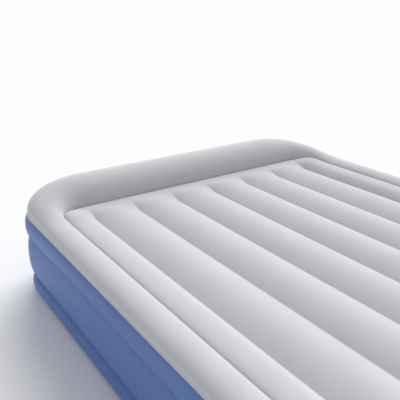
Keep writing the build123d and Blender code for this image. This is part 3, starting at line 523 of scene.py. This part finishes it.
class AIRBED_OT_pillow_and_rim(bpy.types.Operator):
    """Makes the flocked cover that is the pillow at the head and the rim all round"""

    bl_idname = "airbed.pillow_and_rim"
    bl_label = "Pillow and Rim"

    def execute(self, context):
        shape = context.scene.airbed_shape
        stations = loop_stations(shape)
        vertices, columns = [], 0
        for inner, outer, blend in stations:
            seam_rise = shape.side_seam_rise + (shape.head_seam_rise - shape.side_seam_rise) * blend
            z_in = Z_TOP_WELD + seam_rise
            lift = shape.rim_lift + (shape.pillow_lift - shape.rim_lift) * blend
            lifts = (lift - shape.rim_slope * (1 - blend), lift)
            front, back = 0.008 * blend, 0.008 + 0.024 * blend
            points = cover_section(inner, outer, z_in, Z_TOP_WELD, lifts, front, back, 34)
            skirt = points[0] - Vector((0, 0, SKIRT))
            row = [skirt] + points[:-1] + cover_lip(shape, points[-1])
            columns = len(row)
            vertices += row
        faces = grid_faces(len(stations), columns, wrap_rows=True)
        piece = mesh_piece("pillow_and_rim_skin", vertices, faces)
        nodes = ["pillow_cover", "side_rim_left", "side_rim_right", "foot_rim"]
        finish_piece(piece, "airbed", "flocked_pvc", nodes)
        return {"FINISHED"}


# ---- Side wall ----
def band_profile(low, high, bulge_inset, count):
    """A bulged strip between two weld lines, as (inset, z) pairs from low to high."""
    rows = []
    for k in range(count):
        s = -math.cos(math.pi * k / (count - 1))
        s = 0.5 * s + 0.5 * (2 * k / (count - 1) - 1)
        z = (low[1] + high[1]) / 2 + s * (high[1] - low[1]) / 2
        end = low[0] if s < 0 else high[0]
        inset = bulge_inset + (end - bulge_inset) * abs(s) ** BAND_POWER
        rows.append((inset, z))
    return rows


def wall_piece(name, profile, nodes=(), pump_window=False):
    """Sweeps a wall profile round the bed, with faint creases at its weld lines."""
    corner = bpy.context.scene.airbed_shape.wall_corner
    points, normals = rounded_loop(HALF_WIDTH, HALF_LENGTH, corner, WALL_STEP)
    rng = np.random.default_rng(7)
    along = run_along(points)
    length = along[-1] + np.hypot(*(points[0] - points[-1]))
    waves = [(int(rng.integers(60, 150)), rng.uniform(0, 2 * math.pi)) for _ in range(7)]
    ripple = sum(np.sin(2 * math.pi * along / length * n + phase) for n, phase in waves) / 7
    z_low, z_high = profile[0][1], profile[-1][1]
    rows = []
    for (x, y), (nx, ny), wave in zip(points, normals, ripple):
        row = []
        for inset, z in profile:
            # The creases are deepest 10 mm from a weld and die away over 12 mm
            to_weld = min(z - z_low, z_high - z)
            near = math.exp(-((to_weld - 0.010) / 0.012) ** 2)
            push = CREASE_DEPTH * wave * near
            row.append((x - nx * (inset - push), y - ny * (inset - push), z))
        rows.append(row)
    vertices = np.array(rows).reshape(-1, 3)
    faces = grid_faces(len(rows), len(profile), wrap_rows=True)
    if pump_window:
        vertices, faces = with_pump_window(vertices, faces)
    return finish_piece(mesh_piece(name, vertices, faces), "airbed", "blue_pvc", nodes)


def with_pump_window(vertices, faces):
    """Draws the wall in to the pump's collar, and opens it behind the collar's edge."""
    centre_x, centre_z = (COLLAR_LOW.x + COLLAR_HIGH.x) / 2, (COLLAR_LOW.z + COLLAR_HIGH.z) / 2
    half_x, half_z = (COLLAR_HIGH.x - COLLAR_LOW.x) / 2, (COLLAR_HIGH.z - COLLAR_LOW.z) / 2
    qx = np.abs(vertices[:, 0] - centre_x) - half_x
    qz = np.abs(vertices[:, 2] - centre_z) - half_z
    distance = np.hypot(np.maximum(qx, 0), np.maximum(qz, 0)) + np.minimum(np.maximum(qx, qz), 0)
    weight = smooth_step(1 - np.maximum(distance, 0) / PUMP_DRAW)
    at_head = vertices[:, 1] > HALF_LENGTH - 0.06
    level = COLLAR_HIGH.y - 0.0012
    around = np.arctan2(vertices[:, 2] - centre_z, (vertices[:, 0] - centre_x) * half_z / half_x)
    tucks = np.sin(22 * around) + 0.6 * np.sin(37 * around + 1.3)
    puff = CREASE_DEPTH * tucks * np.exp(-((distance - 0.014) / 0.016) ** 2)
    pulled = vertices[:, 1] * (1 - weight) + level * weight + puff
    vertices[:, 1] = np.where(at_head, pulled, vertices[:, 1])
    hidden = at_head & (distance < -0.004)
    kept = [f for f in faces if not all(hidden[v] for v in f)]
    return vertices, kept


class AIRBED_OT_side_wall(bpy.types.Operator):
    """Makes the three stacked bands of the side wall and the weld tapes in its creases"""

    bl_idname = "airbed.side_wall"
    bl_label = "Side Wall"

    def execute(self, context):
        shape = context.scene.airbed_shape
        top = (shape.top_weld_inset, Z_TOP_WELD)
        upper = (shape.upper_crease_inset, Z_UPPER_CREASE)
        lower = (shape.lower_crease_inset, Z_LOWER_CREASE)
        over_upper, under_upper = ((upper[0], upper[1] + side * CREASE_GAP) for side in (1, -1))
        over_lower, under_lower = ((lower[0], lower[1] + side * CREASE_GAP) for side in (1, -1))
        pieces = [
            wall_piece("upper_wall_skin", band_profile(over_upper, top, UPPER_BULGE_INSET, 22),
                       ["upper_wall_band"]),
            wall_piece("middle_wall_skin", band_profile(over_lower, under_upper, 0.0, 44),
                       ["middle_wall_band"], True),
            wall_piece("lower_wall_skin", lower_profile(shape, under_lower), ["lower_wall_band"]),
        ]
        for name, (inset, z) in (("upper_weld_tape", upper), ("lower_weld_tape", lower)):
            tape = [(inset + deep, z + up) for deep, up in ((0.0010, -0.0030), (0.0002, -0.0012),
                                                            (0.0002, 0.0012), (0.0010, 0.0030))]
            wall_piece(name, tape)
        return {"FINISHED"}


def lower_profile(shape, high):
    """The lowest band: bulged, then tucked under to the bottom weld."""
    bulge = LOWER_BULGE_INSET
    radius = shape.floor_inset - bulge
    rows = []
    for k in range(13):
        a = math.pi / 2 * k / 12
        rows.append((bulge + radius * (1 - math.sin(a)), radius * (1 - math.cos(a))))
    for k in range(1, 15):
        s = k / 14
        rows.append((bulge + (high[0] - bulge) * s ** 2.4, radius + (high[1] - radius) * s))
    return rows


class AIRBED_OT_bottom_sheet(bpy.types.Operator):
    """Makes the bottom sheet, drawn up along the beams and resting on its bulges"""

    bl_idname = "airbed.bottom_sheet"
    bl_label = "Bottom Sheet"

    def execute(self, context):
        shape = context.scene.airbed_shape
        half_w = HALF_WIDTH - shape.floor_inset
        half_l = HALF_LENGTH - shape.floor_inset
        radius = shape.wall_corner - shape.floor_inset
        inner, pitch = inner_channels(shape, plan_lines(shape)[3])
        xs = np.linspace(-half_w, half_w, 221)
        ys = panel_rows(-half_l, half_l, radius, radius)
        grid_x, grid_y = np.meshgrid(xs, ys)
        into = np.clip(np.abs(grid_y) - (half_l - radius), 0, radius)
        reach = half_w - radius + np.sqrt(np.maximum(radius ** 2 - into ** 2, 0))
        grid_x = grid_x * reach / half_w
        to_beam = np.abs((grid_x / pitch) - np.round(grid_x / pitch)) * pitch
        to_end = half_l - np.abs(grid_y)
        within = smooth_step((to_end - 0.16) / 0.12) * smooth_step((inner + 0.03 - np.abs(grid_x)) / 0.03)
        # The sheet is 0.4 mm off the floor, and 9 mm higher at a beam
        z = 0.0004 + 0.009 * np.exp(-to_beam / 0.022) * within
        piece = mesh_piece("bottom_sheet_skin", grid_points(grid_x, grid_y, z), grid_faces(*z.shape))
        finish_piece(piece, "airbed", "base_pvc", ["bottom_sheet"])
        return {"FINISHED"}


# ---- Pump ----
PUMP_COPIES = [
    # CAD node, body, slot, edge radius in metres
    ("pump_housing", "airbed", "pump_plastic", 0.0003),
    ("face_panel", "airbed", "pump_plastic", 0.0005),
    ("pump_collar", "airbed", "blue_pvc", 0.0006),
    ("intake_grille", "airbed", "pump_plastic", 0.0003),
    ("switch_body", "airbed", "pump_plastic", 0.0002),
    ("cord_compartment", "airbed", "pump_plastic", 0.0003),
    ("cord_gland", "airbed", "seal_rubber", 0.0003),
    ("selector_drum", "selector", "pump_plastic", 0.0003),
    ("control_dial", "selector", "control_plastic", 0.0007),
    ("cord_hatch", "hatch", "pump_plastic", 0.0004),
    ("power_switch", "rocker", "switch_plastic", 0.0003),
]


class AIRBED_OT_pump_body(bpy.types.Operator):
    """Rounds the pump's moulded pieces and gives them their finishes"""

    bl_idname = "airbed.pump_body"
    bl_label = "Pump Body"

    def execute(self, context):
        for node, body, slot_name, radius in PUMP_COPIES:
            piece = softened_copy(node, node + "_moulded", radius)
            finish_piece(piece, body, slot_name, [node])
        return {"FINISHED"}


class AIRBED_OT_valve_spring(bpy.types.Operator):
    """Makes the check valve's coil spring as the frame has it, with a mesh of its own"""

    bl_idname = "airbed.valve_spring"
    bl_label = "Valve Spring"

    def execute(self, context):
        piece = softened_copy("valve_spring", "valve_spring_coil", 0)
        finish_piece(piece, "airbed", "bright_steel", ["valve_spring"])
        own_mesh(piece)
        return {"FINISHED"}


def repeat_tree():
    """A node tree that sets a copy of one piece on every point, turned by the point's own turn."""
    tree = bpy.data.node_groups.get("repeat_at_points")
    if tree:
        return tree
    tree = bpy.data.node_groups.new("repeat_at_points", "GeometryNodeTree")
    tree.interface.new_socket("Points", in_out="INPUT", socket_type="NodeSocketGeometry")
    tree.interface.new_socket("Piece", in_out="INPUT", socket_type="NodeSocketObject")
    tree.interface.new_socket("Finish", in_out="INPUT", socket_type="NodeSocketMaterial")
    tree.interface.new_socket("Made", in_out="OUTPUT", socket_type="NodeSocketGeometry")
    given = add_node(tree, "NodeGroupInput").outputs
    piece = add_node(tree, "GeometryNodeObjectInfo", links={"Object": given["Piece"]})
    turn = add_node(tree, "GeometryNodeInputNamedAttribute",
                    {"data_type": "FLOAT_VECTOR", "Name": "turn"})
    rotation = add_node(tree, "FunctionNodeEulerToRotation", links={"Euler": turn.outputs["Attribute"]})
    copies = add_node(tree, "GeometryNodeInstanceOnPoints",
                      links={"Points": given["Points"], "Instance": piece.outputs["Geometry"],
                             "Rotation": rotation.outputs["Rotation"]})
    real = add_node(tree, "GeometryNodeRealizeInstances", links={"Geometry": copies.outputs["Instances"]})
    done = add_node(tree, "GeometryNodeSetMaterial",
                    links={"Geometry": real.outputs["Geometry"], "Material": given["Finish"]})
    add_node(tree, "NodeGroupOutput", links={"Made": done.outputs["Geometry"]})
    return tree


def repeated(name, prototype, places, turns, body, slot_name, nodes=()):
    """One plain, finished piece made of copies of a prototype, which is then removed."""
    host = mesh_piece(name, places, [])
    turn = host.data.attributes.new("turn", "FLOAT_VECTOR", "POINT")
    turn.data.foreach_set("vector", np.array(turns, dtype=float).ravel())
    tree = repeat_tree()
    modifier = host.modifiers.new("Repeat", "NODES")
    modifier.node_group = tree
    sockets = {item.name: item.identifier for item in tree.interface.items_tree}
    modifier[sockets["Piece"]] = prototype
    modifier[sockets["Finish"]] = FINISHES[slot_name]()
    plain_mesh(host)
    smooth_faces(host.data)
    host.data.set_sharp_from_angle(angle=math.radians(35))
    bpy.data.objects.remove(prototype)
    return finish_piece(host, body, slot_name, nodes)


def rounded_bar(name, size, radius):
    """A bar with rounded edges, centred on the origin."""
    shape = bmesh.new()
    bmesh.ops.create_cube(shape, size=1.0)
    bmesh.ops.scale(shape, vec=size, verts=shape.verts)
    bmesh.ops.bevel(shape, geom=shape.edges[:], offset=radius, segments=2, profile=0.5, affect="EDGES")
    return bmesh_piece(name, shape)


def turned_y(name, profile, segments=40):
    """A solid of revolution about Y from (radius, y) pairs, closed at both ends by points on the axis."""
    vertices = [(0, profile[0][1], 0), (0, profile[-1][1], 0)]
    rings = profile[1:-1]
    for radius, y in rings:
        for k in range(segments):
            a = 2 * math.pi * k / segments
            vertices.append((radius * math.cos(a), y, radius * math.sin(a)))
    faces = []
    for k in range(segments):
        n = (k + 1) % segments
        faces.append((0, 2 + k, 2 + n))
        last = 2 + (len(rings) - 1) * segments
        faces.append((1, last + n, last + k))
        for i in range(len(rings) - 1):
            a, b = 2 + i * segments, 2 + (i + 1) * segments
            faces.append((a + k, b + k, b + n, a + n))
    return face_outwards(mesh_piece(name, vertices, faces))


def pump_point(u, v, y):
    """A point on the pump, from its middle: u along the wall and v up, in millimetres."""
    return Vector((PUMP_MIDDLE.x + u * MM, y, PUMP_MIDDLE.z + v * MM))


class AIRBED_OT_face_screws(bpy.types.Operator):
    """Sets the six cross-recess screws into the pump's face"""

    bl_idname = "airbed.face_screws"
    bl_label = "Face Screws"

    def execute(self, context):
        low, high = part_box("face_screws")
        head, front, tail = 3.2 * MM, high.y - FACE_HIGH.y, low.y - FACE_HIGH.y
        screw = turned_y("screw", [(0, front), (head * 0.35, front), (head * 0.75, front * 0.86),
                                   (head * 0.95, front * 0.5), (head, 0.0001), (head, 0), (0.0015, 0),
                                   (0.0015, tail + 0.0006), (0.0010, tail), (0, tail)])
        for size in ((0.0009, 0.0012, 0.0040), (0.0040, 0.0012, 0.0009)):
            cutter = rounded_bar("recess", size, 0.0001)
            cutter.location = (0, front, 0)
            cut = screw.modifiers.new("Recess", "BOOLEAN")
            cut.operation = "DIFFERENCE"
            cut.solver = "EXACT"
            cut.object = cutter
            bpy.context.view_layer.update()
            plain_mesh(screw)
            bpy.data.objects.remove(cutter)
        rng = np.random.default_rng(11)
        places = [pump_point(u, v, FACE_HIGH.y) for u, v in SCREW_SPOTS]
        turns = [(0, a, 0) for a in rng.uniform(0, math.pi / 2, len(SCREW_SPOTS))]
        repeated("face_screw_set", screw, places, turns, "airbed", "bright_steel", ["face_screws"])
        return {"FINISHED"}


class AIRBED_OT_pump_ribs(bpy.types.Operator):
    """Makes the grille's louvres, the hatch's grip ribs and the knurled weld round the collar"""

    bl_idname = "airbed.pump_ribs"
    bl_label = "Pump Ribs"

    def execute(self, context):
        # Louvres: one tilted blade in each slot of the grille. Sizes here are metres unless scaled by MM
        middle = (GRILLE_LOW + GRILLE_HIGH) / 2
        count, pitch = 8, 6.5 * MM
        spots = [(middle.x, GRILLE_HIGH.y - 0.0012, middle.z + (k - (count - 1) / 2) * pitch)
                 for k in range(count)]
        blade = rounded_bar("blade", (0.0218, 0.0007, 0.0036), 0.0002)
        turns = [(math.radians(28), 0, 0)] * count
        repeated("grille_louvres", blade, spots, turns, "airbed", "pump_plastic")
        # Grip ribs on the hatch, over its finger notch
        low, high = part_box("cord_hatch")
        spots = [((low.x + high.x) / 2, high.y, low.z + (14 + 3.2 * k) * MM) for k in range(5)]
        rib = rounded_bar("rib", (0.022, 0.0010, 0.0013), 0.0003)
        repeated("hatch_grip_ribs", rib, spots, [(0, 0, 0)] * len(spots), "hatch", "pump_plastic")
        # Knurled weld on the collar's margin
        middle = (COLLAR_LOW + COLLAR_HIGH) / 2
        half_x = (COLLAR_HIGH.x - COLLAR_LOW.x) / 2 - 0.003
        half_z = (COLLAR_HIGH.z - COLLAR_LOW.z) / 2 - 0.003
        ring, outwards = rounded_loop(half_x, half_z, 0.013, 0.0036)
        closed, turned = np.vstack([ring, ring[:1]]), np.vstack([outwards, outwards[:1]])
        along = run_along(closed)
        steps = np.linspace(0, along[-1], 200, endpoint=False)
        xs, zs = (np.interp(steps, along, closed[:, i]) for i in (0, 1))
        nx, nz = (np.interp(steps, along, turned[:, i]) for i in (0, 1))
        spots = [(middle.x + x, COLLAR_HIGH.y, middle.z + z) for x, z in zip(xs, zs)]
        turns = [(0, -math.atan2(b, a), 0) for a, b in zip(nx, nz)]
        tooth = rounded_bar("tooth", (0.0042, 0.0008, 0.0015), 0.0003)
        repeated("collar_weld_knurl", tooth, spots, turns, "airbed", "blue_pvc")
        return {"FINISHED"}


def flat_mark(name, outline, y, depth, hole=()):
    """A thin raised mark on the pump's face, from a loop of points in millimetres from the pump's middle.

    The outline, and any hole in it, turn from u towards v, and a hole has as many points as its outline.
    """
    shape = bmesh.new()
    back, front = ([[shape.verts.new(pump_point(u, v, level)) for u, v in loop] for loop in (outline, hole)]
                   for level in (y, y + depth))
    steps = [(k, (k + 1) % len(outline)) for k in range(len(outline))]
    faces = [(back[0][k], front[0][k], front[0][n], back[0][n]) for k, n in steps]
    if hole:
        faces += [(back[1][k], back[1][n], front[1][n], front[1][k]) for k, n in steps]
        faces += [(back[0][k], back[0][n], back[1][n], back[1][k]) for k, n in steps]
        faces += [(front[0][n], front[0][k], front[1][k], front[1][n]) for k, n in steps]
    else:
        faces += [back[0], front[0][::-1]]
    for corners in faces:
        shape.faces.new(corners)
    return bmesh_piece(name, shape)


def ring_points(u, v, radius):
    """Points round a circle on the pump's face, in millimetres."""
    angles = [2 * math.pi * k / 28 for k in range(28)]
    return [(u + radius * math.cos(a), v + radius * math.sin(a)) for a in angles]


class AIRBED_OT_face_marks(bpy.types.Operator):
    """Prints the generic marks round the dial and the switch, and the dial's pointer"""

    bl_idname = "airbed.face_marks"
    bl_label = "Face Marks"

    def execute(self, context):
        dial_u = ((DIAL_LOW.x + DIAL_HIGH.x) / 2 - PUMP_MIDDLE.x) / MM
        switch_u = ((ROCKER_LOW.x + ROCKER_HIGH.x) / 2 - PUMP_MIDDLE.x) / MM
        switch_v = ((ROCKER_LOW.z + ROCKER_HIGH.z) / 2 - PUMP_MIDDLE.z) / MM
        marks = [("mark_closed", ring_points(dial_u, DIAL_MARK, 2.0), ring_points(dial_u, DIAL_MARK, 1.3))]
        for name, side, way in (("mark_inflate", -1, 1), ("mark_deflate", 1, -1)):
            u = dial_u + side * DIAL_MARK * math.sin(DIAL_TURN)
            v = DIAL_MARK * math.cos(DIAL_TURN)
            arrow = [(u + way * a, v + way * b) for a, b in ((-2.6, -1.8), (2.6, -1.8), (0, 2.6))]
            marks.append((name, arrow, ()))
        corners = ((-0.4, -2.4), (0.4, -2.4), (0.4, 2.4), (-0.4, 2.4))
        marks.append(("mark_on", [(switch_u - SWITCH_MARK + u, switch_v + v) for u, v in corners], ()))
        outer, inner = (ring_points(switch_u + SWITCH_MARK, switch_v, radius) for radius in (2.4, 1.7))
        marks.append(("mark_off", outer, inner))
        for name, outline, hole in marks:
            mark = flat_mark(name, outline, FACE_HIGH.y - 0.0001, 0.00025, hole)
            finish_piece(mark, "airbed", "control_plastic")
        pointer = [(dial_u - 1.1, 9), (dial_u + 1.1, 9), (dial_u + 1.1, 25), (dial_u, 26), (dial_u - 1.1, 25)]
        mark = flat_mark("dial_pointer", pointer, DIAL_HIGH.y - 0.0002, 0.0004)
        finish_piece(mark, "selector", "switch_plastic")
        return {"FINISHED"}


# ---- Materials ----
def add_node(tree, kind, settings=None, links=None):
    """Adds a node, sets its properties and input values, and links its inputs from other sockets."""
    node = tree.nodes.new(kind)
    for key, value in (settings or {}).items():
        if isinstance(key, str) and hasattr(node, key):
            setattr(node, key, value)
        else:
            node.inputs[key].default_value = value
    for key, socket in (links or {}).items():
        tree.links.new(socket, node.inputs[key])
    return node


def made_once(build):
    """Turns a function that adds nodes and returns their shader into one that makes a named material once."""
    def material(name, *facts):
        made = bpy.data.materials.get(name)
        if made is None:
            made = bpy.data.materials.new(name)
            made.use_nodes = True
            tree = made.node_tree
            tree.nodes.clear()
            shader = build(tree, *facts)
            add_node(tree, "ShaderNodeOutputMaterial", links={"Surface": shader.outputs["BSDF"]})
        return made
    return material


def object_place(tree):
    """The object coordinates, which are metres in the frame."""
    return add_node(tree, "ShaderNodeTexCoord").outputs["Object"]


def noise(tree, scale, detail, roughness=0.5):
    """A noise pattern in object coordinates."""
    return add_node(tree, "ShaderNodeTexNoise", {"Scale": scale, "Detail": detail, "Roughness": roughness},
                    {"Vector": object_place(tree)}).outputs["Fac"]


def two_tones(tree, colour, dark, light, factor):
    """A mix from a darker to a lighter tone of one colour."""
    mix = add_node(tree, "ShaderNodeMix", {"data_type": "RGBA"}, {"Factor": factor})
    mix.inputs["A"].default_value = tuple(c * dark for c in colour[:3]) + (1.0,)
    mix.inputs["B"].default_value = tuple(min(1.0, c * light) for c in colour[:3]) + (1.0,)
    return mix.outputs["Result"]


def spread(tree, value, middle, reach):
    """A value from 0 to 1 spread evenly about a middle."""
    return add_node(tree, "ShaderNodeMapRange", {"To Min": middle - reach, "To Max": middle + reach},
                    {"Value": value}).outputs["Result"]


def bumped(tree, height, strength, distance_mm):
    """A normal raised by a pattern."""
    return add_node(tree, "ShaderNodeBump", {"Strength": strength, "Distance": distance_mm * MM},
                    {"Height": height}).outputs["Normal"]


@made_once
def flocked(tree, colour):
    """Vinyl with fibres glued on it, in a nap that is slightly mottled."""
    # Fibre clumps are about 0.3 mm across; they are drawn 1.6 mm across so that they show
    fibre = noise(tree, 1 / (1.6 * MM), 3.0, 0.7)
    nap = add_node(tree, "ShaderNodeMapRange", {"From Min": 0.3, "From Max": 0.7},
                   {"Value": noise(tree, 9.0, 4.0, 0.6)})
    both = add_node(tree, "ShaderNodeMath", {"operation": "MULTIPLY_ADD", 1: 0.55},
                    {0: nap.outputs["Result"], 2: fibre})
    grain = add_node(tree, "ShaderNodeMath", {"operation": "MULTIPLY", 1: 0.65}, {0: both.outputs["Value"]})
    return add_node(tree, "ShaderNodeBsdfPrincipled",
                    {"Roughness": 0.92, "IOR": 1.45, "Specular IOR Level": 0.25, "Sheen Weight": 0.18,
                     "Sheen Roughness": 0.45},
                    {"Base Color": two_tones(tree, colour, 0.93, 1.04, grain.outputs["Value"]),
                     "Normal": bumped(tree, fibre, 0.25, 0.4)})


def flocked_pvc():
    """Flocked PVC: short rayon fibres on vinyl, which make it soft to the eye, matt and free of glints."""
    return flocked("flocked_vinyl", bpy.context.scene.airbed_finish.flock)


@made_once
def vinyl(tree, colour, roughness, grain_mm, bump_strength):
    """Calendered PVC sheet with a fine leather-like emboss rolled into it."""
    emboss = add_node(tree, "ShaderNodeTexVoronoi", {"feature": "SMOOTH_F1", "Scale": 1 / (grain_mm * MM)},
                      {"Vector": object_place(tree)})
    tone = noise(tree, 6.0, 3.0)
    ramp = add_node(tree, "ShaderNodeMapRange", {"From Min": 0.3, "From Max": 0.7}, {"Value": tone})
    return add_node(tree, "ShaderNodeBsdfPrincipled", {"IOR": 1.53, "Specular IOR Level": 0.4},
                    {"Base Color": two_tones(tree, colour, 0.94, 1.05, ramp.outputs["Result"]),
                     "Roughness": spread(tree, tone, roughness, 0.05),
                     "Normal": bumped(tree, emboss.outputs["Distance"], bump_strength, 0.15)})


def blue_pvc():
    """Blue wall vinyl: satin, with the soft wide highlights of a taut inflated skin."""
    return vinyl("wall_vinyl", bpy.context.scene.airbed_finish.wall, 0.50, 1.4, 0.3)


def base_pvc():
    """Bottom vinyl: darker and more matt, so that it grips the floor."""
    return vinyl("base_vinyl", bpy.context.scene.airbed_finish.base, 0.65, 2.2, 0.5)


def clear_pvc():
    """Internal web vinyl: pale and plain."""
    return vinyl("web_vinyl", linear("#B9C0CC"), 0.45, 2.0, 0.2)


@made_once
def moulded(tree, colour, roughness, grain_mm, bump_strength):
    """Injection-moulded plastic with a spark-eroded grain."""
    wear = noise(tree, 40.0, 5.0)
    grain = noise(tree, 1 / (grain_mm * MM), 4.0, 0.65)
    return add_node(tree, "ShaderNodeBsdfPrincipled", {"IOR": 1.50},
                    {"Base Color": two_tones(tree, colour, 0.92, 1.08, wear),
                     "Roughness": spread(tree, wear, roughness, 0.08),
                     "Normal": bumped(tree, grain, bump_strength, 0.05)})


def pump_abs():
    """ABS pump shell: dark, fine-grained and half matt."""
    return moulded("pump_abs", bpy.context.scene.airbed_finish.pump, 0.50, 0.6, 0.5)


def control_abs():
    """ABS dial: pale, smoother than the shell, so that it stands out."""
    return moulded("control_abs", bpy.context.scene.airbed_finish.control, 0.35, 0.8, 0.2)


def switch_polycarbonate():
    """Polycarbonate rocker: black and glossy."""
    return moulded("switch_polycarbonate", linear("#15161A"), 0.20, 1.0, 0.05)


def seal_rubber():
    """Moulded EPDM rubber: black and dull."""
    return moulded("moulded_rubber", linear("#1B1B1D"), 0.75, 0.7, 0.6)


def filter_foam():
    """Reticulated polyether foam: black and open, with no shine."""
    return moulded("open_cell_foam", linear("#202124"), 0.95, 1.6, 1.0)


@made_once
def metal(tree, colour, roughness, grain_mm):
    """Drawn or plated steel with fine marks."""
    marks = noise(tree, 1 / (grain_mm * MM), 3.0)
    return add_node(tree, "ShaderNodeBsdfPrincipled", {"Base Color": colour, "Metallic": 1.0},
                    {"Roughness": spread(tree, marks, roughness, 0.07)})


def bright_steel():
    """Zinc-plated steel: screws, pins and spring."""
    return metal("zinc_steel", linear("#B9BBC0"), 0.30, 0.8)


def motor_steel():
    """Pressed steel motor can and stack."""
    return metal("pressed_steel", linear("#8B8D92"), 0.42, 1.2)


@made_once
def paper(tree):
    """Matt white studio paper."""
    return add_node(tree, "ShaderNodeBsdfDiffuse", {"Color": (0.97, 0.97, 0.97, 1.0)})


# The record's slots and the materials made for them
FINISHES = {"flocked_pvc": flocked_pvc, "blue_pvc": blue_pvc, "base_pvc": base_pvc, "clear_pvc": clear_pvc,
            "pump_plastic": pump_abs, "control_plastic": control_abs, "switch_plastic": switch_polycarbonate,
            "seal_rubber": seal_rubber, "filter_foam": filter_foam, "bright_steel": bright_steel,
            "motor_steel": motor_steel}


class AIRBED_OT_inner_pieces(bpy.types.Operator):
    """Gives the carried-over inner pieces of the bed and the pump their finishes"""

    bl_idname = "airbed.inner_pieces"
    bl_label = "Inner Pieces"

    def execute(self, context):
        for part in frame["record"]["subparts"]:
            node = frame["nodes"][part["node"]]
            node.data.materials.clear()
            node.data.materials.append(FINISHES[part["material_slot"]]())
        return {"FINISHED"}


# ---- Stage ----
class AIRBED_OT_stage(bpy.types.Operator):
    """Makes the pale floor, the soft studio light and the camera"""

    bl_idname = "airbed.stage"
    bl_label = "Stage"

    def execute(self, context):
        scene = context.scene
        corners = [(x * FLOOR_HALF, y * FLOOR_HALF, 0) for x, y in ((-1, -1), (1, -1), (1, 1), (-1, 1))]
        floor = mesh_piece("studio_floor", corners, [(0, 1, 2, 3)])
        floor.data.materials.append(paper("studio_paper"))
        world = bpy.data.worlds.new("studio")
        world.use_nodes = True
        tree = world.node_tree
        tree.nodes.clear()
        seen = add_node(tree, "ShaderNodeLightPath").outputs["Is Camera Ray"]
        glow = add_node(tree, "ShaderNodeMapRange", {"To Min": AMBIENT, "To Max": 1.0}, {"Value": seen})
        backdrop = add_node(tree, "ShaderNodeBackground", {"Color": (1.0, 1.0, 1.0, 1.0)},
                            {"Strength": glow.outputs["Result"]})
        add_node(tree, "ShaderNodeOutputWorld", links={"Surface": backdrop.outputs["Background"]})
        scene.world = world
        data = bpy.data.lights.new("soft_key", "SUN")
        data.energy = KEY_STRENGTH
        data.angle = math.radians(KEY_SOFTNESS)
        key = placed("soft_key", data)
        key.rotation_mode = "QUATERNION"
        key.rotation_quaternion = Vector(KEY_FROM).to_track_quat("Z", "Y")
        scene.view_settings.view_transform = "Standard"
        data = bpy.data.cameras.new("camera")
        data.lens = CAMERA_LENS
        data.sensor_width = 36.0
        data.clip_end = 100.0
        camera = placed("camera", data)
        camera.location = CAMERA_PLACE
        camera.rotation_mode = "XYZ"
        camera.rotation_euler = (math.radians(90 - CAMERA_DIP), 0, math.radians(CAMERA_TURN))
        scene.camera = camera
        return {"FINISHED"}


class AIRBED_PT_sidebar(bpy.types.Panel):
    """Lists the steps that build the airbed"""

    bl_idname = "AIRBED_PT_sidebar"
    bl_label = "Raised Airbed"
    bl_space_type = "VIEW_3D"
    bl_region_type = "UI"
    bl_category = "Airbed"

    def draw(self, context):
        layout = self.layout
        for group in (context.scene.airbed_shape, context.scene.airbed_finish):
            box = layout.box()
            for name in group.__annotations__:
                box.prop(group, name)
        for operator in OPERATORS:
            layout.operator(operator.bl_idname)


OPERATORS = [AIRBED_OT_inner_pieces, AIRBED_OT_channel_panel, AIRBED_OT_pillow_and_rim,
             AIRBED_OT_side_wall, AIRBED_OT_bottom_sheet, AIRBED_OT_pump_body, AIRBED_OT_valve_spring,
             AIRBED_OT_face_screws, AIRBED_OT_pump_ribs, AIRBED_OT_face_marks, AIRBED_OT_stage]
CLASSES = [AirbedShape, AirbedFinish, *OPERATORS, AIRBED_PT_sidebar]


def register():
    """Registers the classes and hangs the settings on the scene."""
    for cls in CLASSES:
        bpy.utils.register_class(cls)
    bpy.types.Scene.airbed_shape = bpy.props.PointerProperty(type=AirbedShape)
    bpy.types.Scene.airbed_finish = bpy.props.PointerProperty(type=AirbedFinish)


def unregister():
    """Undoes what register did."""
    del bpy.types.Scene.airbed_finish
    del bpy.types.Scene.airbed_shape
    for cls in reversed(CLASSES):
        bpy.utils.unregister_class(cls)


def main():
    """Builds the airbed."""
    register()
    for operator in OPERATORS:
        getattr(bpy.ops.airbed, operator.bl_idname.split(".")[1])()


if __name__ == "__main__":
    main()
